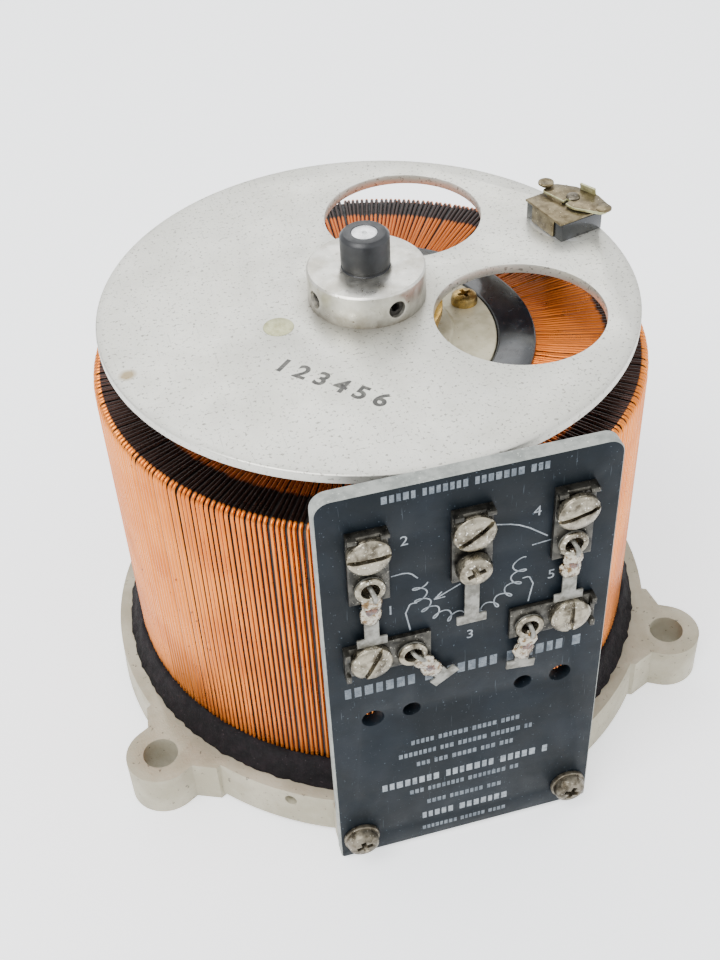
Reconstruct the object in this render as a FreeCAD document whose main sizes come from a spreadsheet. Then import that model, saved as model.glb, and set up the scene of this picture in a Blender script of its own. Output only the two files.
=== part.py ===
"""Open-frame variable autotransformer: a toroidal coil whose bare top edge is swept by a carbon brush.

Frame: millimetres, +Z up along the shaft, origin on the shaft axis in the plane of the three ears'
undersides.  The terminal board stands on the -Y side.  Rotor pieces are drawn with the brush on
their own +X axis and are then turned to the brush's resting angle.
"""
import FreeCAD
import Part
import Sketcher

import math
import os
import re

Vector = FreeCAD.Vector

# Driving dimensions, in millimetres and degrees: alias, value, what it is.
SIZES = [
    # cutting
    ("overcut", 1.0, "how far a cutting tool runs past what it cuts"),
    # base casting
    ("coil_gap", 2.3, "ring of cement between the coil and the rim"),
    ("base_draft", 0.4, "how far the skirt leans in at its top"),
    ("skirt_bottom", 1.3, "the skirt stops this far above the ears' undersides"),
    ("skirt_foot_wall", 3.5, "wall of the skirt under the floor"),
    ("rim_wall", 3.7, "wall of the rim round the coil"),
    ("flange_top", 10.5, "top of the rim and of the ears"),
    ("floor_bottom", 3.4, "underside of the floor"),
    ("floor_top", 6.0, "seat of the coil"),
    ("column_radius", 24.6, "outside of the central column"),
    ("column_wall", 5.6, "wall of the central column"),
    ("boss_wall", 3.5, "wall of the boss round the lower bushing"),
    ("register_height", 3.0, "raised register that centres the column"),
    ("boss_bottom", 5.2, "underside of that boss"),
    ("boss_top", 16.0, "top of that boss"),
    ("recess_gap", 2.0, "room round the retaining ring, outside the bushing"),
    ("rib_count", 6, "ribs under the floor"),
    ("rib_width", 3.0, "their width"),
    ("ear_count", 3, "mounting ears"),
    ("ear_reach", 5.1, "the ears' holes beyond the skirt"),
    ("ear_radius", 7.25, "rounded end of an ear"),
    ("ear_blend", 2.4, "straight side of an ear before its rounded end"),
    ("ear_root_half_width", 11.5, "half width where an ear meets the skirt"),
    ("ear_hole_radius", 3.65, "hole in an ear"),
    ("first_ear_angle", 90.0, "azimuth of the rear ear"),
    ("wall_hole_radius", 1.3, "tapped hole in the skirt"),
    ("wall_hole_depth", 2.8, "its depth"),
    ("wall_hole_height", 8.0, "its height"),
    ("wall_hole_angle", -123.5, "its azimuth"),
    # coil
    ("winding_radius", 54.9, "outside of the coil"),
    ("bore_gap", 2.65, "the coil's bore outside the washer's cup"),
    ("coil_height", 74.3, "from its seat to the brush track"),
    ("bend", 1.6, "how far the turns round off at the coil's corners"),
    ("wire_diameter", 0.72, "magnet wire"),
    ("bore_layers", 2, "layers of wire that the turns crowd into in the bore"),
    ("cap_wall", 1.0, "wall of the moulded core caps"),
    ("cap_chamfer", 1.0, "corners of the moulded core caps"),
    ("winding_angle", 328.0, "arc that the turns cover"),
    ("lower_washer_thickness", 1.0, "fibre washer under the coil"),
    ("bead_rise", 6.5, "how far the cement bead climbs the coil above the rim"),
    ("bead_overhang", 1.0, "how far the bead laps on to the rim"),
    # clamp
    ("washer_lap", 3.5, "how far the upper insulating washer laps on to the coil"),
    ("washer_thickness", 1.0, "its thickness"),
    ("washer_cup_wall", 1.4, "wall of its cup"),
    ("washer_cup_depth", 2.0, "depth of its cup under the flange"),
    ("plate_overhang", 0.7, "clamp plate beyond the column"),
    ("plate_gap", 0.15, "clearance of the plate in the washer's cup"),
    ("plate_thickness", 2.0, "its thickness"),
    ("plate_boss_radius", 16.6, "raised boss on the plate"),
    ("plate_boss_height", 1.3, "its height"),
    ("clamp_screw_inset", 2.7, "clamp screws inside the column's outer wall"),
    ("clamp_screw_count", 3, "clamp screws"),
    ("clamp_screw_angle", 12.0, "azimuth of the first clamp screw"),
    ("clamp_screw_length", 12.0, "under the head"),
    ("small_screw_radius", 1.6, "thread of the clamp, centre and board screws"),
    ("pan_head_radius", 3.2, "their pan heads"),
    ("pan_head_height", 2.1, "height of a pan head"),
    ("crown_share", 0.7, "flat crown of a screw head, as a share of its radius"),
    ("cross_width", 0.9, "arms of the cross recess"),
    ("cross_length", 3.2, "tip to tip of the cross recess"),
    ("cross_depth", 1.2, "depth of the cross recess"),
    # bushings and shaft
    ("bushing_wall", 2.2, "wall of both bushings"),
    ("upper_bushing_length", 5.3, "down from the top of the clamp plate's boss"),
    ("sleeve_radius", 4.76, "insulating sleeve of the shaft"),
    ("shaft_radius", 2.5, "steel core of the shaft"),
    ("running_clearance", 0.04, "radial, sleeve in bushing"),
    ("end_play", 0.1, "axial, at each thrust washer"),
    ("shaft_bottom", 2.0, "lower end of the shaft"),
    ("shaft_reach", 7.2, "the shaft stands this far above the hub"),
    ("sleeve_groove_width", 0.8, "relief groove of the sleeve at the hub's top"),
    ("sleeve_groove_depth", 0.25, "depth of that groove"),
    ("shaft_chamfer", 0.7, "chamfer of the sleeve's upper end"),
    ("thrust_washer_radius", 8.0, "both thrust washers"),
    ("thrust_washer_thickness", 0.55, "both thrust washers"),
    ("retaining_ring_radius", 7.2, "ring at the foot of the shaft"),
    ("retaining_ring_thickness", 1.1, "its thickness"),
    # rotor
    ("disc_inset", 2.5, "the radiator disc's rim inside the coil's outside"),
    ("disc_thickness", 2.1, "its thickness"),
    ("disc_gap", 8.3, "radiator disc over the brush track"),
    ("disc_edge", 0.25, "chamfer at its rim"),
    ("window_radius", 16.4, "two round windows in the disc"),
    ("window_circle_radius", 29.9, "centres of the windows"),
    ("window_angle", 45.0, "either side of the brush"),
    ("hub_radius", 11.45, "hub above the disc"),
    ("hub_height", 6.8, "hub above the disc"),
    ("hub_chamfer", 0.35, "its upper edge"),
    ("spigot_wall", 3.74, "wall of the hub's spigot, which passes through the disc"),
    ("hub_flange_radius", 14.6, "backing ring under the disc"),
    ("hub_flange_thickness", 1.6, "its thickness"),
    ("slip_ring_radius", 14.0, "brass slip ring"),
    ("slip_ring_thickness", 2.0, "its thickness"),
    ("set_screw_radius", 1.75, "socket set screws"),
    ("set_screw_length", 5.0, "their length"),
    ("set_screw_height", 3.1, "their axis above the disc"),
    ("set_screw_sink", 0.8, "how far they sit under the hub's surface"),
    ("hex_radius", 0.95, "corner radius of their sockets"),
    ("hex_depth", 2.0, "depth of their sockets"),
    # stop
    ("rivet_setback", 3.4, "stop arm's rivet outside the arm's inner end"),
    ("rivet_head_radius", 2.9, "its flush head"),
    ("rivet_radius", 2.0, "its shank"),
    ("rivet_proud", 0.05, "its head over the disc"),
    ("rivet_tail_radius", 2.6, "its upset tail"),
    ("rivet_tail_height", 0.6, "its upset tail"),
    ("arm_gap", 1.4, "stop arm clear of the backing ring"),
    ("arm_overreach", 4.5, "stop arm beyond the post"),
    ("arm_half_width", 4.5, "half its width"),
    ("arm_tip_half_width", 2.7, "half its width at the outer end"),
    ("arm_corner", 1.5, "length of its cut corners"),
    ("arm_thickness", 1.7, "its thickness"),
    ("post_setback", 4.1, "stop post outside the plate's boss"),
    ("post_angle", 90.0, "its azimuth"),
    ("post_radius", 2.3, "its radius"),
    ("post_gap", 0.4, "its top under the disc"),
    ("post_thread_length", 8.0, "its threaded end"),
    # brush
    ("brush_angle", 15.0, "azimuth of the brush at rest"),
    ("brush_wall", 0.8, "holder's wall inside the carbon brush"),
    ("brush_length", 3.9, "its radial length"),
    ("brush_width", 2.4, "its width along the track"),
    ("brush_nick", 0.6, "worn corner at its foot"),
    ("brush_height", 9.6, "its height"),
    ("brush_gap", 0.1, "its foot over the track"),
    ("brush_play", 0.06, "its clearance in the holder, each side"),
    ("holder_length", 10.0, "brush holder, across the rim"),
    ("holder_inset", 0.4, "holder inside the disc's rim"),
    ("holder_half_width", 6.0, "half its length along the rim"),
    ("holder_shoulder", 0.8, "how much smaller its stem is, each side"),
    ("holder_clearance", 3.1, "underside of the holder's stem over the track"),
    ("holder_height", 3.8, "its height over the disc"),
    ("stem_gap", 0.1, "stem in the disc's slot, each side"),
    ("cage_thickness", 0.5, "bronze cage over the holder"),
    ("cage_lip_half_width", 3.6, "half the cage's inner lip"),
    ("cage_lip_height", 3.6, "length of the cage's inner lip"),
    ("clip_setback", 7.0, "turning clip's pin outside the holder's inner side"),
    ("clip_half_length", 7.0, "half the clip along the rim"),
    ("clip_half_width", 3.9, "half the clip across"),
    ("clip_shoulder_half_length", 3.15, "half the clip's inner side"),
    ("clip_back_half_length", 2.1, "half the clip's outer side"),
    ("clip_tip_half_width", 1.2, "half the width of the clip's ends"),
    ("clip_button_inset", 0.8, "centres of the round tabs inside the clip's ends"),
    ("clip_thickness", 0.6, "its thickness"),
    ("clip_gap", 0.3, "clip over the cage"),
    ("clip_button_radius", 1.9, "round tabs at the clip's ends"),
    ("clip_button_height", 0.9, "their height over the clip"),
    ("clip_tab_height", 1.9, "bent-up finger tab of the clip"),
    ("clip_tab_half_length", 2.0, "half its length"),
    ("pin_head_gap", 0.1, "head of the clip's pin over the clip"),
    ("pin_head_radius", 1.5, "head of that pin"),
    ("pin_head_height", 0.4, "height of that head"),
    ("clip_pin_radius", 0.9, "pin that the clip turns on"),
    ("spring_radius", 1.1, "brush spring"),
    ("spring_wire", 0.35, "wire of the brush spring"),
    # take-off contact
    ("contact_angle", -78.0, "azimuth of the take-off contact"),
    ("pillar_setback", 4.4, "take-off contact's pillar outside the plate's boss"),
    ("pillar_radius", 2.9, "insulating pillar"),
    ("pillar_height", 2.9, "over the clamp plate"),
    ("pillar_spigot_radius", 2.0, "pillar in the plate"),
    ("leaf_gap", 1.7, "contact leaf clear of the hub's spigot"),
    ("leaf_tail", 4.0, "contact leaf beyond its pillar"),
    ("leaf_half_width", 2.4, "half the leaf's width"),
    ("leaf_tip_half_width", 1.45, "half its width at the inner end"),
    ("leaf_thickness", 0.4, "its thickness"),
    ("contact_screw_radius", 1.2, "screw through leaf and pillar"),
    ("contact_head_radius", 2.4, "its head"),
    ("contact_head_height", 1.0, "its head"),
    # terminal board
    ("board_sink", 1.4, "how deep the board is let into the skirt"),
    ("board_thickness", 2.8, "its thickness"),
    ("board_half_width", 26.1, "half its width"),
    ("board_bottom", 1.3, "its lower edge"),
    ("board_rise", 7.2, "the board's upper edge over the disc"),
    ("board_corner", 3.0, "its rounded upper corners"),
    ("board_screw_inset", 4.3, "the board's screws inside its edges"),
    ("board_screw_height", 7.4, "their height"),
    ("board_screw_reach", 6.0, "their thread behind the board"),
    ("lock_washer_radius", 3.6, "lock washers under their heads"),
    ("lock_washer_thickness", 0.9, "thickness of the lock washers"),
    ("lug_half_width", 4.0, "casting's pads behind the board"),
    ("lug_depth", 3.5, "depth of these pads"),
    ("lug_rise", 0.9, "casting's pads over its rim"),
    ("spare_drop", 17.0, "row of spare holes under the lower eyelets"),
    ("spare_shift", 0.15, "outer spare holes inside the lower binding screws"),
    ("spare_outer_radius", 2.1, "outer spare holes"),
    ("spare_inner_radius", 1.7, "inner spare holes"),
    # terminals
    ("terminal_inset", 8.3, "outer upper terminals inside the board's edges"),
    ("screw_drop", 4.5, "upper binding screws under the straps' upper ends"),
    ("eyelet_drop", 12.6, "upper eyelets under the straps' upper ends"),
    ("strap_half_width", 3.55, "half width of a terminal strap"),
    ("strap_thickness", 0.9, "terminal strap"),
    ("strap_drop", 7.5, "the upright straps' upper ends under the board's upper edge"),
    ("strap_tail", 3.5, "strap beyond its eyelet"),
    ("ear_tab_width", 1.6, "upturned tabs of a strap"),
    ("ear_tab_height", 2.3, "their height over the board"),
    ("lip_height", 1.5, "lip between the tabs, over the board"),
    ("lower_shift", 0.45, "lower binding screws outside the upper ones"),
    ("lower_drop", 17.7, "lower binding screws under the upper eyelets"),
    ("terminal_pitch", 7.5, "lower binding screw to its eyelet"),
    ("lower_eyelet_drop", 0.7, "lower eyelets under the lower binding screws"),
    ("lower_strap_reach", 4.65, "lower straps beyond their binding screws"),
    ("binding_radius", 1.75, "thread of a binding screw"),
    ("binding_head_radius", 3.75, "its head"),
    ("binding_head_height", 1.9, "its head"),
    ("binding_edge_height", 0.85, "straight edge of its head"),
    ("binding_reach", 3.0, "its thread behind the board"),
    ("slot_width", 0.9, "screwdriver slot"),
    ("slot_depth", 0.9, "screwdriver slot"),
    ("eyelet_bore", 1.6, "hole through an eyelet"),
    ("eyelet_radius", 1.95, "barrel of an eyelet"),
    ("eyelet_flange", 2.75, "flange of an eyelet"),
    ("eyelet_flange_top", 2.55, "upper face of the outer flange"),
    ("eyelet_flange_thickness", 0.5, "thickness of that flange"),
    ("lug_thickness", 0.45, "solder lugs"),
    ("center_screw_reach", 2.0, "middle lug's screw behind the board"),
    ("lug_eye_radius", 2.6, "ring of a solder lug"),
    ("lug_neck_half_width", 1.3, "neck of a solder lug"),
    ("lug_bar_half_width", 2.7, "cross bar at its end"),
    ("lug_bar_height", 1.9, "height of that bar"),
    ("upper_lug_reach", 14.0, "length of an upper lug"),
    ("lower_lug_reach", 11.0, "length of a lower lug"),
    ("lead_radius", 0.45, "wire of the tap leads"),
    ("lead_bend", 1.2, "bend radius of the leads"),
    ("lead_proud", 1.0, "end of a lead in front of its eyelet"),
    ("tap_setback", 0.6, "inner tap leads outside the coil's last turns"),
    ("brush_lead_turn", 40.0, "radius where the take-off contact's lead turns to its terminal"),
    ("brush_lead_radius", 0.8, "insulated lead of the take-off contact"),
]

# Places that follow from the driving dimensions.
PLACES = {
    "well_radius": "winding_radius + coil_gap",
    "base_radius": "well_radius + rim_wall",
    "column_bore": "column_radius - column_wall",
    "register_top": "floor_top + register_height",
    "coil_bottom": "floor_top + lower_washer_thickness",
    "track_top": "coil_bottom + coil_height",
    "cap_outer": "winding_radius - wire_diameter",
    "cap_inner": "winding_bore + bore_layers * wire_diameter",
    "cap_bottom": "coil_bottom + wire_diameter",
    "cap_top": "track_top - wire_diameter",
    "core_outer": "cap_outer - cap_wall",
    "core_inner": "cap_inner + cap_wall",
    "core_bottom": "cap_bottom + cap_wall",
    "core_top": "cap_top - cap_wall",
    "core_middle": "(core_bottom + core_top) / 2",
    "cup_bottom": "track_top - washer_cup_depth",
    "cup_radius": "plate_radius + plate_gap",
    "plate_bottom": "cup_bottom + washer_thickness",
    "plate_top": "plate_bottom + plate_thickness",
    "plate_boss_top": "plate_top + plate_boss_height",
    "column_top": "cup_bottom",
    "bushing_bore": "sleeve_radius + running_clearance",
    "hub_foot": "plate_boss_top + end_play + thrust_washer_thickness",
    "disc_bottom": "track_top + disc_gap",
    "hub_top": "disc_top + hub_height",
    "hub_flange_bottom": "disc_bottom - hub_flange_thickness",
    "slip_ring_bottom": "hub_flange_bottom - slip_ring_thickness",
    "arm_bottom": "disc_bottom - arm_thickness",
    "holder_top": "disc_top + holder_height",
    "cage_top": "holder_top + cage_thickness",
    "clip_bottom": "cage_top + clip_gap",
    "clip_top": "clip_bottom + clip_thickness",
    "pin_head_bottom": "clip_top + pin_head_gap",
    "stem_half_width": "holder_half_width - holder_shoulder",
    "stem_inner": "holder_inner + holder_shoulder / 2",
    "stem_outer": "holder_outer - holder_shoulder",
    "pocket_half_width": "brush_width / 2 + brush_play",
    "pocket_inner": "brush_inner - brush_play",
    "pocket_length": "brush_length + 2 * brush_play",
    "brush_middle": "brush_inner + brush_length / 2",
    "brush_bottom": "track_top + brush_gap",
    "brush_top": "brush_bottom + brush_height",
    "pillar_top": "plate_top + pillar_height",
    "leaf_top": "pillar_top + leaf_thickness",
    "board_front": "board_back + board_thickness",
    "strap_front": "board_front + strap_thickness",
    "lug_front": "strap_front + lug_thickness",
    "ear_circle_radius": "base_radius + ear_reach",
    "recess_radius": "bushing_radius + recess_gap",
    "boss_radius": "bushing_radius + boss_wall",
    "winding_bore": "cup_radius + washer_cup_wall + bore_gap",
    "bead_top": "flange_top + bead_rise",
    "washer_radius": "winding_bore + washer_lap",
    "plate_radius": "column_radius + plate_overhang",
    "clamp_screw_circle": "column_radius - clamp_screw_inset",
    "bushing_radius": "bushing_bore + bushing_wall",
    "shaft_top": "hub_top + shaft_reach",
    "disc_radius": "winding_radius - disc_inset",
    "disc_top": "disc_bottom + disc_thickness",
    "spigot_radius": "sleeve_radius + spigot_wall",
    "rivet_circle_radius": "arm_inner + rivet_setback",
    "arm_inner": "hub_flange_radius + arm_gap",
    "arm_outer": "post_circle_radius + arm_overreach",
    "post_circle_radius": "plate_boss_radius + post_setback",
    "brush_inner": "holder_inner + brush_wall",
    "holder_inner": "holder_outer - holder_length",
    "holder_outer": "disc_radius - holder_inset",
    "holder_foot": "track_top + holder_clearance",
    "clip_radius": "holder_inner + clip_setback",
    "contact_radius": "plate_boss_radius + pillar_setback",
    "leaf_inner": "spigot_radius + leaf_gap",
    "leaf_outer": "contact_radius + leaf_tail",
    "board_back": "base_radius - board_sink",
    "board_top": "disc_top + board_rise",
    "board_screw_offset": "board_half_width - board_screw_inset",
    "lug_top": "flange_top + lug_rise",
    "spare_height": "lower_eyelet_height - spare_drop",
    "spare_outer_offset": "lower_screw_offset - spare_shift",
    "spare_inner_offset": "lower_eyelet_offset",
    "upper_offset": "board_half_width - terminal_inset",
    "upper_screw_height": "strap_top - screw_drop",
    "upper_eyelet_height": "strap_top - eyelet_drop",
    "strap_top": "board_top - strap_drop",
    "lower_screw_offset": "upper_offset + lower_shift",
    "lower_screw_height": "upper_eyelet_height - lower_drop",
    "lower_eyelet_offset": "lower_screw_offset - terminal_pitch",
    "lower_eyelet_height": "lower_screw_height - lower_eyelet_drop",
    "lower_strap_end": "lower_screw_offset + lower_strap_reach",
    "upper_lug_end": "upper_eyelet_height - upper_lug_reach",
    "brush_lead_height": "pillar_top + leaf_thickness / 2",
}

ALIASES = {alias for alias, _, _ in SIZES}
SUB_PARTS = []
SECTION_TOLERANCE = 0.02  # share by which a bent wire's volume may miss its section times its length

DOC = FreeCAD.newDocument("autotransformer")
SHEET = DOC.addObject("Spreadsheet::Sheet", "sizes")


def fill_sheet():
    """Write every driving dimension into the sheet under its alias."""
    for row, (alias, value, meaning) in enumerate(SIZES, start=1):
        SHEET.set(f"A{row}", meaning)
        SHEET.set(f"B{row}", str(value))
        SHEET.setAlias(f"B{row}", alias)
    DOC.recompute()


def size(formula):
    """Spell a formula of plain names out in terms of the sheet's cells."""
    def spell(match):
        word = match.group()
        if word in ALIASES:
            return f"sizes.{word}"
        if word in PLACES:
            return f"({size(PLACES[word])})"
        return word
    return re.sub(r"[A-Za-z_]\w*", spell, str(formula))


def number(formula):
    """Present value of a formula, as a plain number."""
    value = SHEET.evalExpression(size(formula))
    return float(getattr(value, "Value", value))


def keep(piece, label):
    """Make an object one of the kept sub-parts, under its own name."""
    piece.Label = label
    SUB_PARTS.append(piece)
    return piece


def place(piece, x=None, y=None, z=None, axis=(0, 0, 1), turn=None):
    """Tie an object's place to the sheet; turn is an angle about axis."""
    if turn is not None:
        piece.Placement = FreeCAD.Placement(Vector(), FreeCAD.Rotation(Vector(*axis), number(turn)))
        piece.setExpression("Placement.Rotation.Angle", size(turn))
    for letter, formula in (("x", x), ("y", y), ("z", z)):
        if formula is not None:
            piece.setExpression(f"Placement.Base.{letter}", size(formula))
    return piece


def tie(piece, **formulas):
    """Bind properties of an object to formulas."""
    for name, formula in formulas.items():
        piece.setExpression(name, size(formula))
    return piece


# --- sketches and PartDesign features ---------------------------------------------------------

def new_sketch(body, name, role="XY_Plane", offset=None):
    """Sketch on one of the body's own planes, shifted along the plane's normal."""
    sketch = body.newObject("Sketcher::SketchObject", name)
    plane = next(item for item in body.Origin.OriginFeatures if item.Role == role)
    sketch.AttachmentSupport = [(plane, "")]
    sketch.MapMode = "FlatFace"
    if offset is not None:
        sketch.setExpression("AttachmentOffset.Base.z", size(offset))
    return sketch


def pin_point(sketch, name, geometry, position, x, y):
    """Dimension one point of a sketch from the origin."""
    for kind, formula in (("DistanceX", x), ("DistanceY", y)):
        constraint = Sketcher.Constraint(kind, -1, 1, geometry, position, number(formula))
        index = sketch.addConstraint(constraint)
        sketch.renameConstraint(index, f"{name}_{kind[-1].lower()}")
        sketch.setExpression(f"Constraints.{name}_{kind[-1].lower()}", size(formula))


def draw_outline(sketch, corners, tag="corner"):
    """Closed outline of straight sides through corners given as pairs of formulas."""
    points = [Vector(number(x), number(y), 0) for x, y in corners]
    first = sketch.GeometryCount
    for start, end in zip(points, points[1:] + points[:1]):
        sketch.addGeometry(Part.LineSegment(start, end), False)
    count = len(points)
    for side in range(count):
        after = first + (side + 1) % count
        sketch.addConstraint(Sketcher.Constraint("Coincident", first + side, 2, after, 1))
    for side, (x, y) in enumerate(corners):
        pin_point(sketch, f"{tag}{side}", first + side, 1, x, y)


def draw_circle(sketch, x, y, radius, tag="circle"):
    """Circle given by formulas for its centre and radius."""
    centre = Vector(number(x), number(y), 0)
    index = sketch.addGeometry(Part.Circle(centre, Vector(0, 0, 1), number(radius)), False)
    pin_point(sketch, tag, index, 3, x, y)
    constraint = sketch.addConstraint(Sketcher.Constraint("Radius", index, number(radius)))
    sketch.renameConstraint(constraint, f"{tag}_radius")
    sketch.setExpression(f"Constraints.{tag}_radius", size(radius))


def rectangle(x_low, x_high, y_low, y_high):
    """Corners of a rectangle."""
    return [(x_low, y_low), (x_high, y_low), (x_high, y_high), (x_low, y_high)]


def chamfered(x_low, x_high, y_low, y_high, corner):
    """Corners of a rectangle whose four corners are cut off."""
    return [
        (f"{x_low} + {corner}", y_low),
        (f"{x_high} - {corner}", y_low),
        (x_high, f"{y_low} + {corner}"),
        (x_high, f"{y_high} - {corner}"),
        (f"{x_high} - {corner}", y_high),
        (f"{x_low} + {corner}", y_high),
        (x_low, f"{y_high} - {corner}"),
        (x_low, f"{y_low} + {corner}"),
    ]


def turn_feature(body, name, outline, angle="360", midplane=False):
    """Revolve an outline of (radius, height) corners about the body's Z axis."""
    sketch = new_sketch(body, f"{name}_outline", "XZ_Plane")
    draw_outline(sketch, outline)
    feature = body.newObject("PartDesign::Revolution", f"{name}_turned")
    feature.Profile = sketch
    feature.ReferenceAxis = (sketch, ["V_Axis"])
    feature.Midplane = midplane
    tie(feature, Angle=angle)
    return feature


def turned(name, outline, angle="360", midplane=False):
    """Body made by one revolution."""
    body = DOC.addObject("PartDesign::Body", name)
    turn_feature(body, name, outline, angle, midplane)
    return body


def pad(body, name, draw, length, role="XY_Plane", offset=None):
    """Add material of a given length along the normal of a sketch that draw() fills."""
    sketch = new_sketch(body, f"{name}_sketch", role, offset)
    draw(sketch)
    feature = body.newObject("PartDesign::Pad", f"{name}_pad")
    feature.Profile = sketch
    tie(feature, Length=length)
    return feature


def pocket(body, name, draw, depth, role="XY_Plane", offset=None):
    """Remove material against the normal of a sketch, and check that some went."""
    DOC.recompute()
    before = body.Shape.Volume
    sketch = new_sketch(body, f"{name}_sketch", role, offset)
    draw(sketch)
    feature = body.newObject("PartDesign::Pocket", f"{name}_pocket")
    feature.Profile = sketch
    tie(feature, Length=depth)
    DOC.recompute()
    if not body.Shape.Volume < before:
        raise RuntimeError(f"{name} cuts nothing")
    return feature


def repeat(body, name, features, count):
    """Repeat features evenly round the body's Z axis."""
    axis = next(item for item in body.Origin.OriginFeatures if item.Role == "Z_Axis")
    pattern = body.newObject("PartDesign::PolarPattern", f"{name}_pattern")
    pattern.Originals = features
    pattern.Axis = (axis, [""])
    pattern.Angle = 360
    tie(pattern, Occurrences=count)
    body.Tip = pattern
    return pattern


# --- Part primitives and booleans --------------------------------------------------------------

def cylinder(name, radius, height, **where):
    """Upright cylinder, or another direction through where's axis and turn."""
    piece = DOC.addObject("Part::Cylinder", name)
    tie(piece, Radius=radius, Height=height)
    return place(piece, **where)


def block(name, length, width, height, **where):
    """Box along +X, +Y and +Z of its own corner."""
    piece = DOC.addObject("Part::Box", name)
    tie(piece, Length=length, Width=width, Height=height)
    return place(piece, **where)


def forward_cylinder(name, radius, length, x, distance, z):
    """Cylinder that starts at a distance from the axis and points away from it, along -Y."""
    return cylinder(name, radius, length, x=x, y=f"-({distance})", z=z, axis=(1, 0, 0), turn="90")


def forward_block(name, x_low, x_high, distance, depth, z_low, z_high):
    """Block on the terminal board's side, from a distance outwards along -Y."""
    return block(name, f"({x_high}) - ({x_low})", depth, f"({z_high}) - ({z_low})",
                 x=x_low, y=f"-({distance}) - ({depth})", z=z_low)


def cut(name, base, tools):
    """Base less its tools."""
    tool = tools[0] if len(tools) == 1 else fuse(f"{name}_tools", tools)
    piece = DOC.addObject("Part::Cut", name)
    piece.Base = base
    piece.Tool = tool
    return piece


def fuse(name, pieces):
    """Several solids made one."""
    piece = DOC.addObject("Part::MultiFuse", name)
    piece.Shapes = pieces
    return piece


def group(name, pieces):
    """Separate solids under one name."""
    piece = DOC.addObject("Part::Compound", name)
    piece.Links = pieces
    return piece


def polar(radius, angle):
    """Formulas for x and y at a radius and an azimuth."""
    return {"x": f"{radius} * cos({angle})", "y": f"{radius} * sin({angle})"}


# --- base --------------------------------------------------------------------------------------

def make_base_casting():
    """Dished base with skirt, register for the column, three ears, ribs and the board's two pads."""
    body = DOC.addObject("PartDesign::Body", "casting")
    turn_feature(body, "casting", [
        ("bushing_radius", "boss_bottom"),
        ("recess_radius", "boss_bottom"),
        ("recess_radius", "floor_bottom"),
        ("base_radius - skirt_foot_wall", "floor_bottom"),
        ("base_radius - skirt_foot_wall", "skirt_bottom"),
        ("base_radius", "skirt_bottom"),
        ("base_radius - base_draft", "flange_top"),
        ("well_radius", "flange_top"),
        ("well_radius", "floor_top"),
        ("column_bore", "floor_top"),
        ("column_bore", "register_top"),
        ("boss_radius", "register_top"),
        ("boss_radius", "boss_top"),
        ("bushing_radius", "boss_top"),
    ])
    foot = "base_radius - skirt_foot_wall"

    def draw_rib(sketch):
        draw_outline(sketch, rectangle("recess_radius", f"{foot} + overcut",
                                       "-rib_width / 2", "rib_width / 2"))

    rib = pad(body, "rib", draw_rib, "floor_bottom - skirt_bottom", offset="skirt_bottom")
    repeat(body, "rib", [rib], "rib_count")

    def draw_ear(sketch):
        draw_outline(sketch, [
            ("well_radius + overcut", "-ear_root_half_width"),
            ("base_radius - base_draft", "-ear_root_half_width"),
            ("ear_circle_radius - ear_blend", "-ear_radius"),
            ("ear_circle_radius", "-ear_radius"),
            ("ear_circle_radius", "ear_radius"),
            ("ear_circle_radius - ear_blend", "ear_radius"),
            ("base_radius - base_draft", "ear_root_half_width"),
            ("well_radius + overcut", "ear_root_half_width"),
        ])

    ear = pad(body, "ear", draw_ear, "flange_top")
    ear_end = pad(body, "ear_end", lambda sketch: draw_circle(sketch, "ear_circle_radius", "0", "ear_radius"),
                  "flange_top")
    repeat(body, "ear", [ear, ear_end], "ear_count")
    hole = pocket(body, "ear_hole",
                  lambda sketch: draw_circle(sketch, "ear_circle_radius", "0", "ear_hole_radius"),
                  "flange_top + overcut", offset="flange_top + overcut")
    repeat(body, "ear_hole", [hole], "ear_count")
    place(body, turn="first_ear_angle")

    pads = [forward_block(f"board_pad_{tag}", f"{side} * board_screw_offset - lug_half_width",
                          f"{side} * board_screw_offset + lug_half_width", "board_back - lug_depth",
                          "lug_depth", "skirt_bottom", "lug_top")
            for tag, side in (("left", "-1"), ("right", "1"))]
    tools = [forward_block("board_flat", "-board_half_width", "board_half_width", "board_back",
                           "board_sink + overcut", "-overcut", "flange_top + overcut")]
    tools += [forward_cylinder(f"board_screw_hole_{tag}", "small_screw_radius", "board_screw_reach + overcut",
                               f"{side} * board_screw_offset", "board_back - board_screw_reach",
                               "board_screw_height")
              for tag, side in (("left", "-1"), ("right", "1"))]
    wall_hole = cylinder("wall_hole", "wall_hole_radius", "wall_hole_depth + overcut", z="wall_hole_height",
                         **polar("(base_radius - wall_hole_depth)", "wall_hole_angle"))
    lay_outward(wall_hole, number("wall_hole_angle"))
    tools.append(wall_hole)
    keep(cut("base_casting_cut", fuse("base_casting_solid", [body] + pads), tools), "base_casting")


def make_column():
    """Hollow column that stands on the casting and takes the clamp screws and the stop post."""
    column = turned("column_body", rectangle("column_bore", "column_radius", "floor_top", "column_top"))
    tools = [cylinder(f"column_clamp_hole_{index}", "small_screw_radius", "clamp_screw_length",
                      z="plate_top - clamp_screw_length",
                      **polar("clamp_screw_circle", clamp_angle(index)))
             for index in range(int(number("clamp_screw_count")))]
    tools.append(cylinder("column_post_hole", "small_screw_radius", "post_thread_length + overcut",
                          z="plate_bottom - post_thread_length",
                          **polar("post_circle_radius", "post_angle")))
    keep(cut("column_cut", column, tools), "coil_column")


def lay_outward(piece, azimuth):
    """Turn an upright piece so that it points away from the shaft axis at an azimuth."""
    lay = FreeCAD.Rotation(Vector(0, 0, 1), azimuth).multiply(FreeCAD.Rotation(Vector(0, 1, 0), 90))
    piece.Placement = FreeCAD.Placement(piece.Placement.Base, lay)
    return piece


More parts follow.
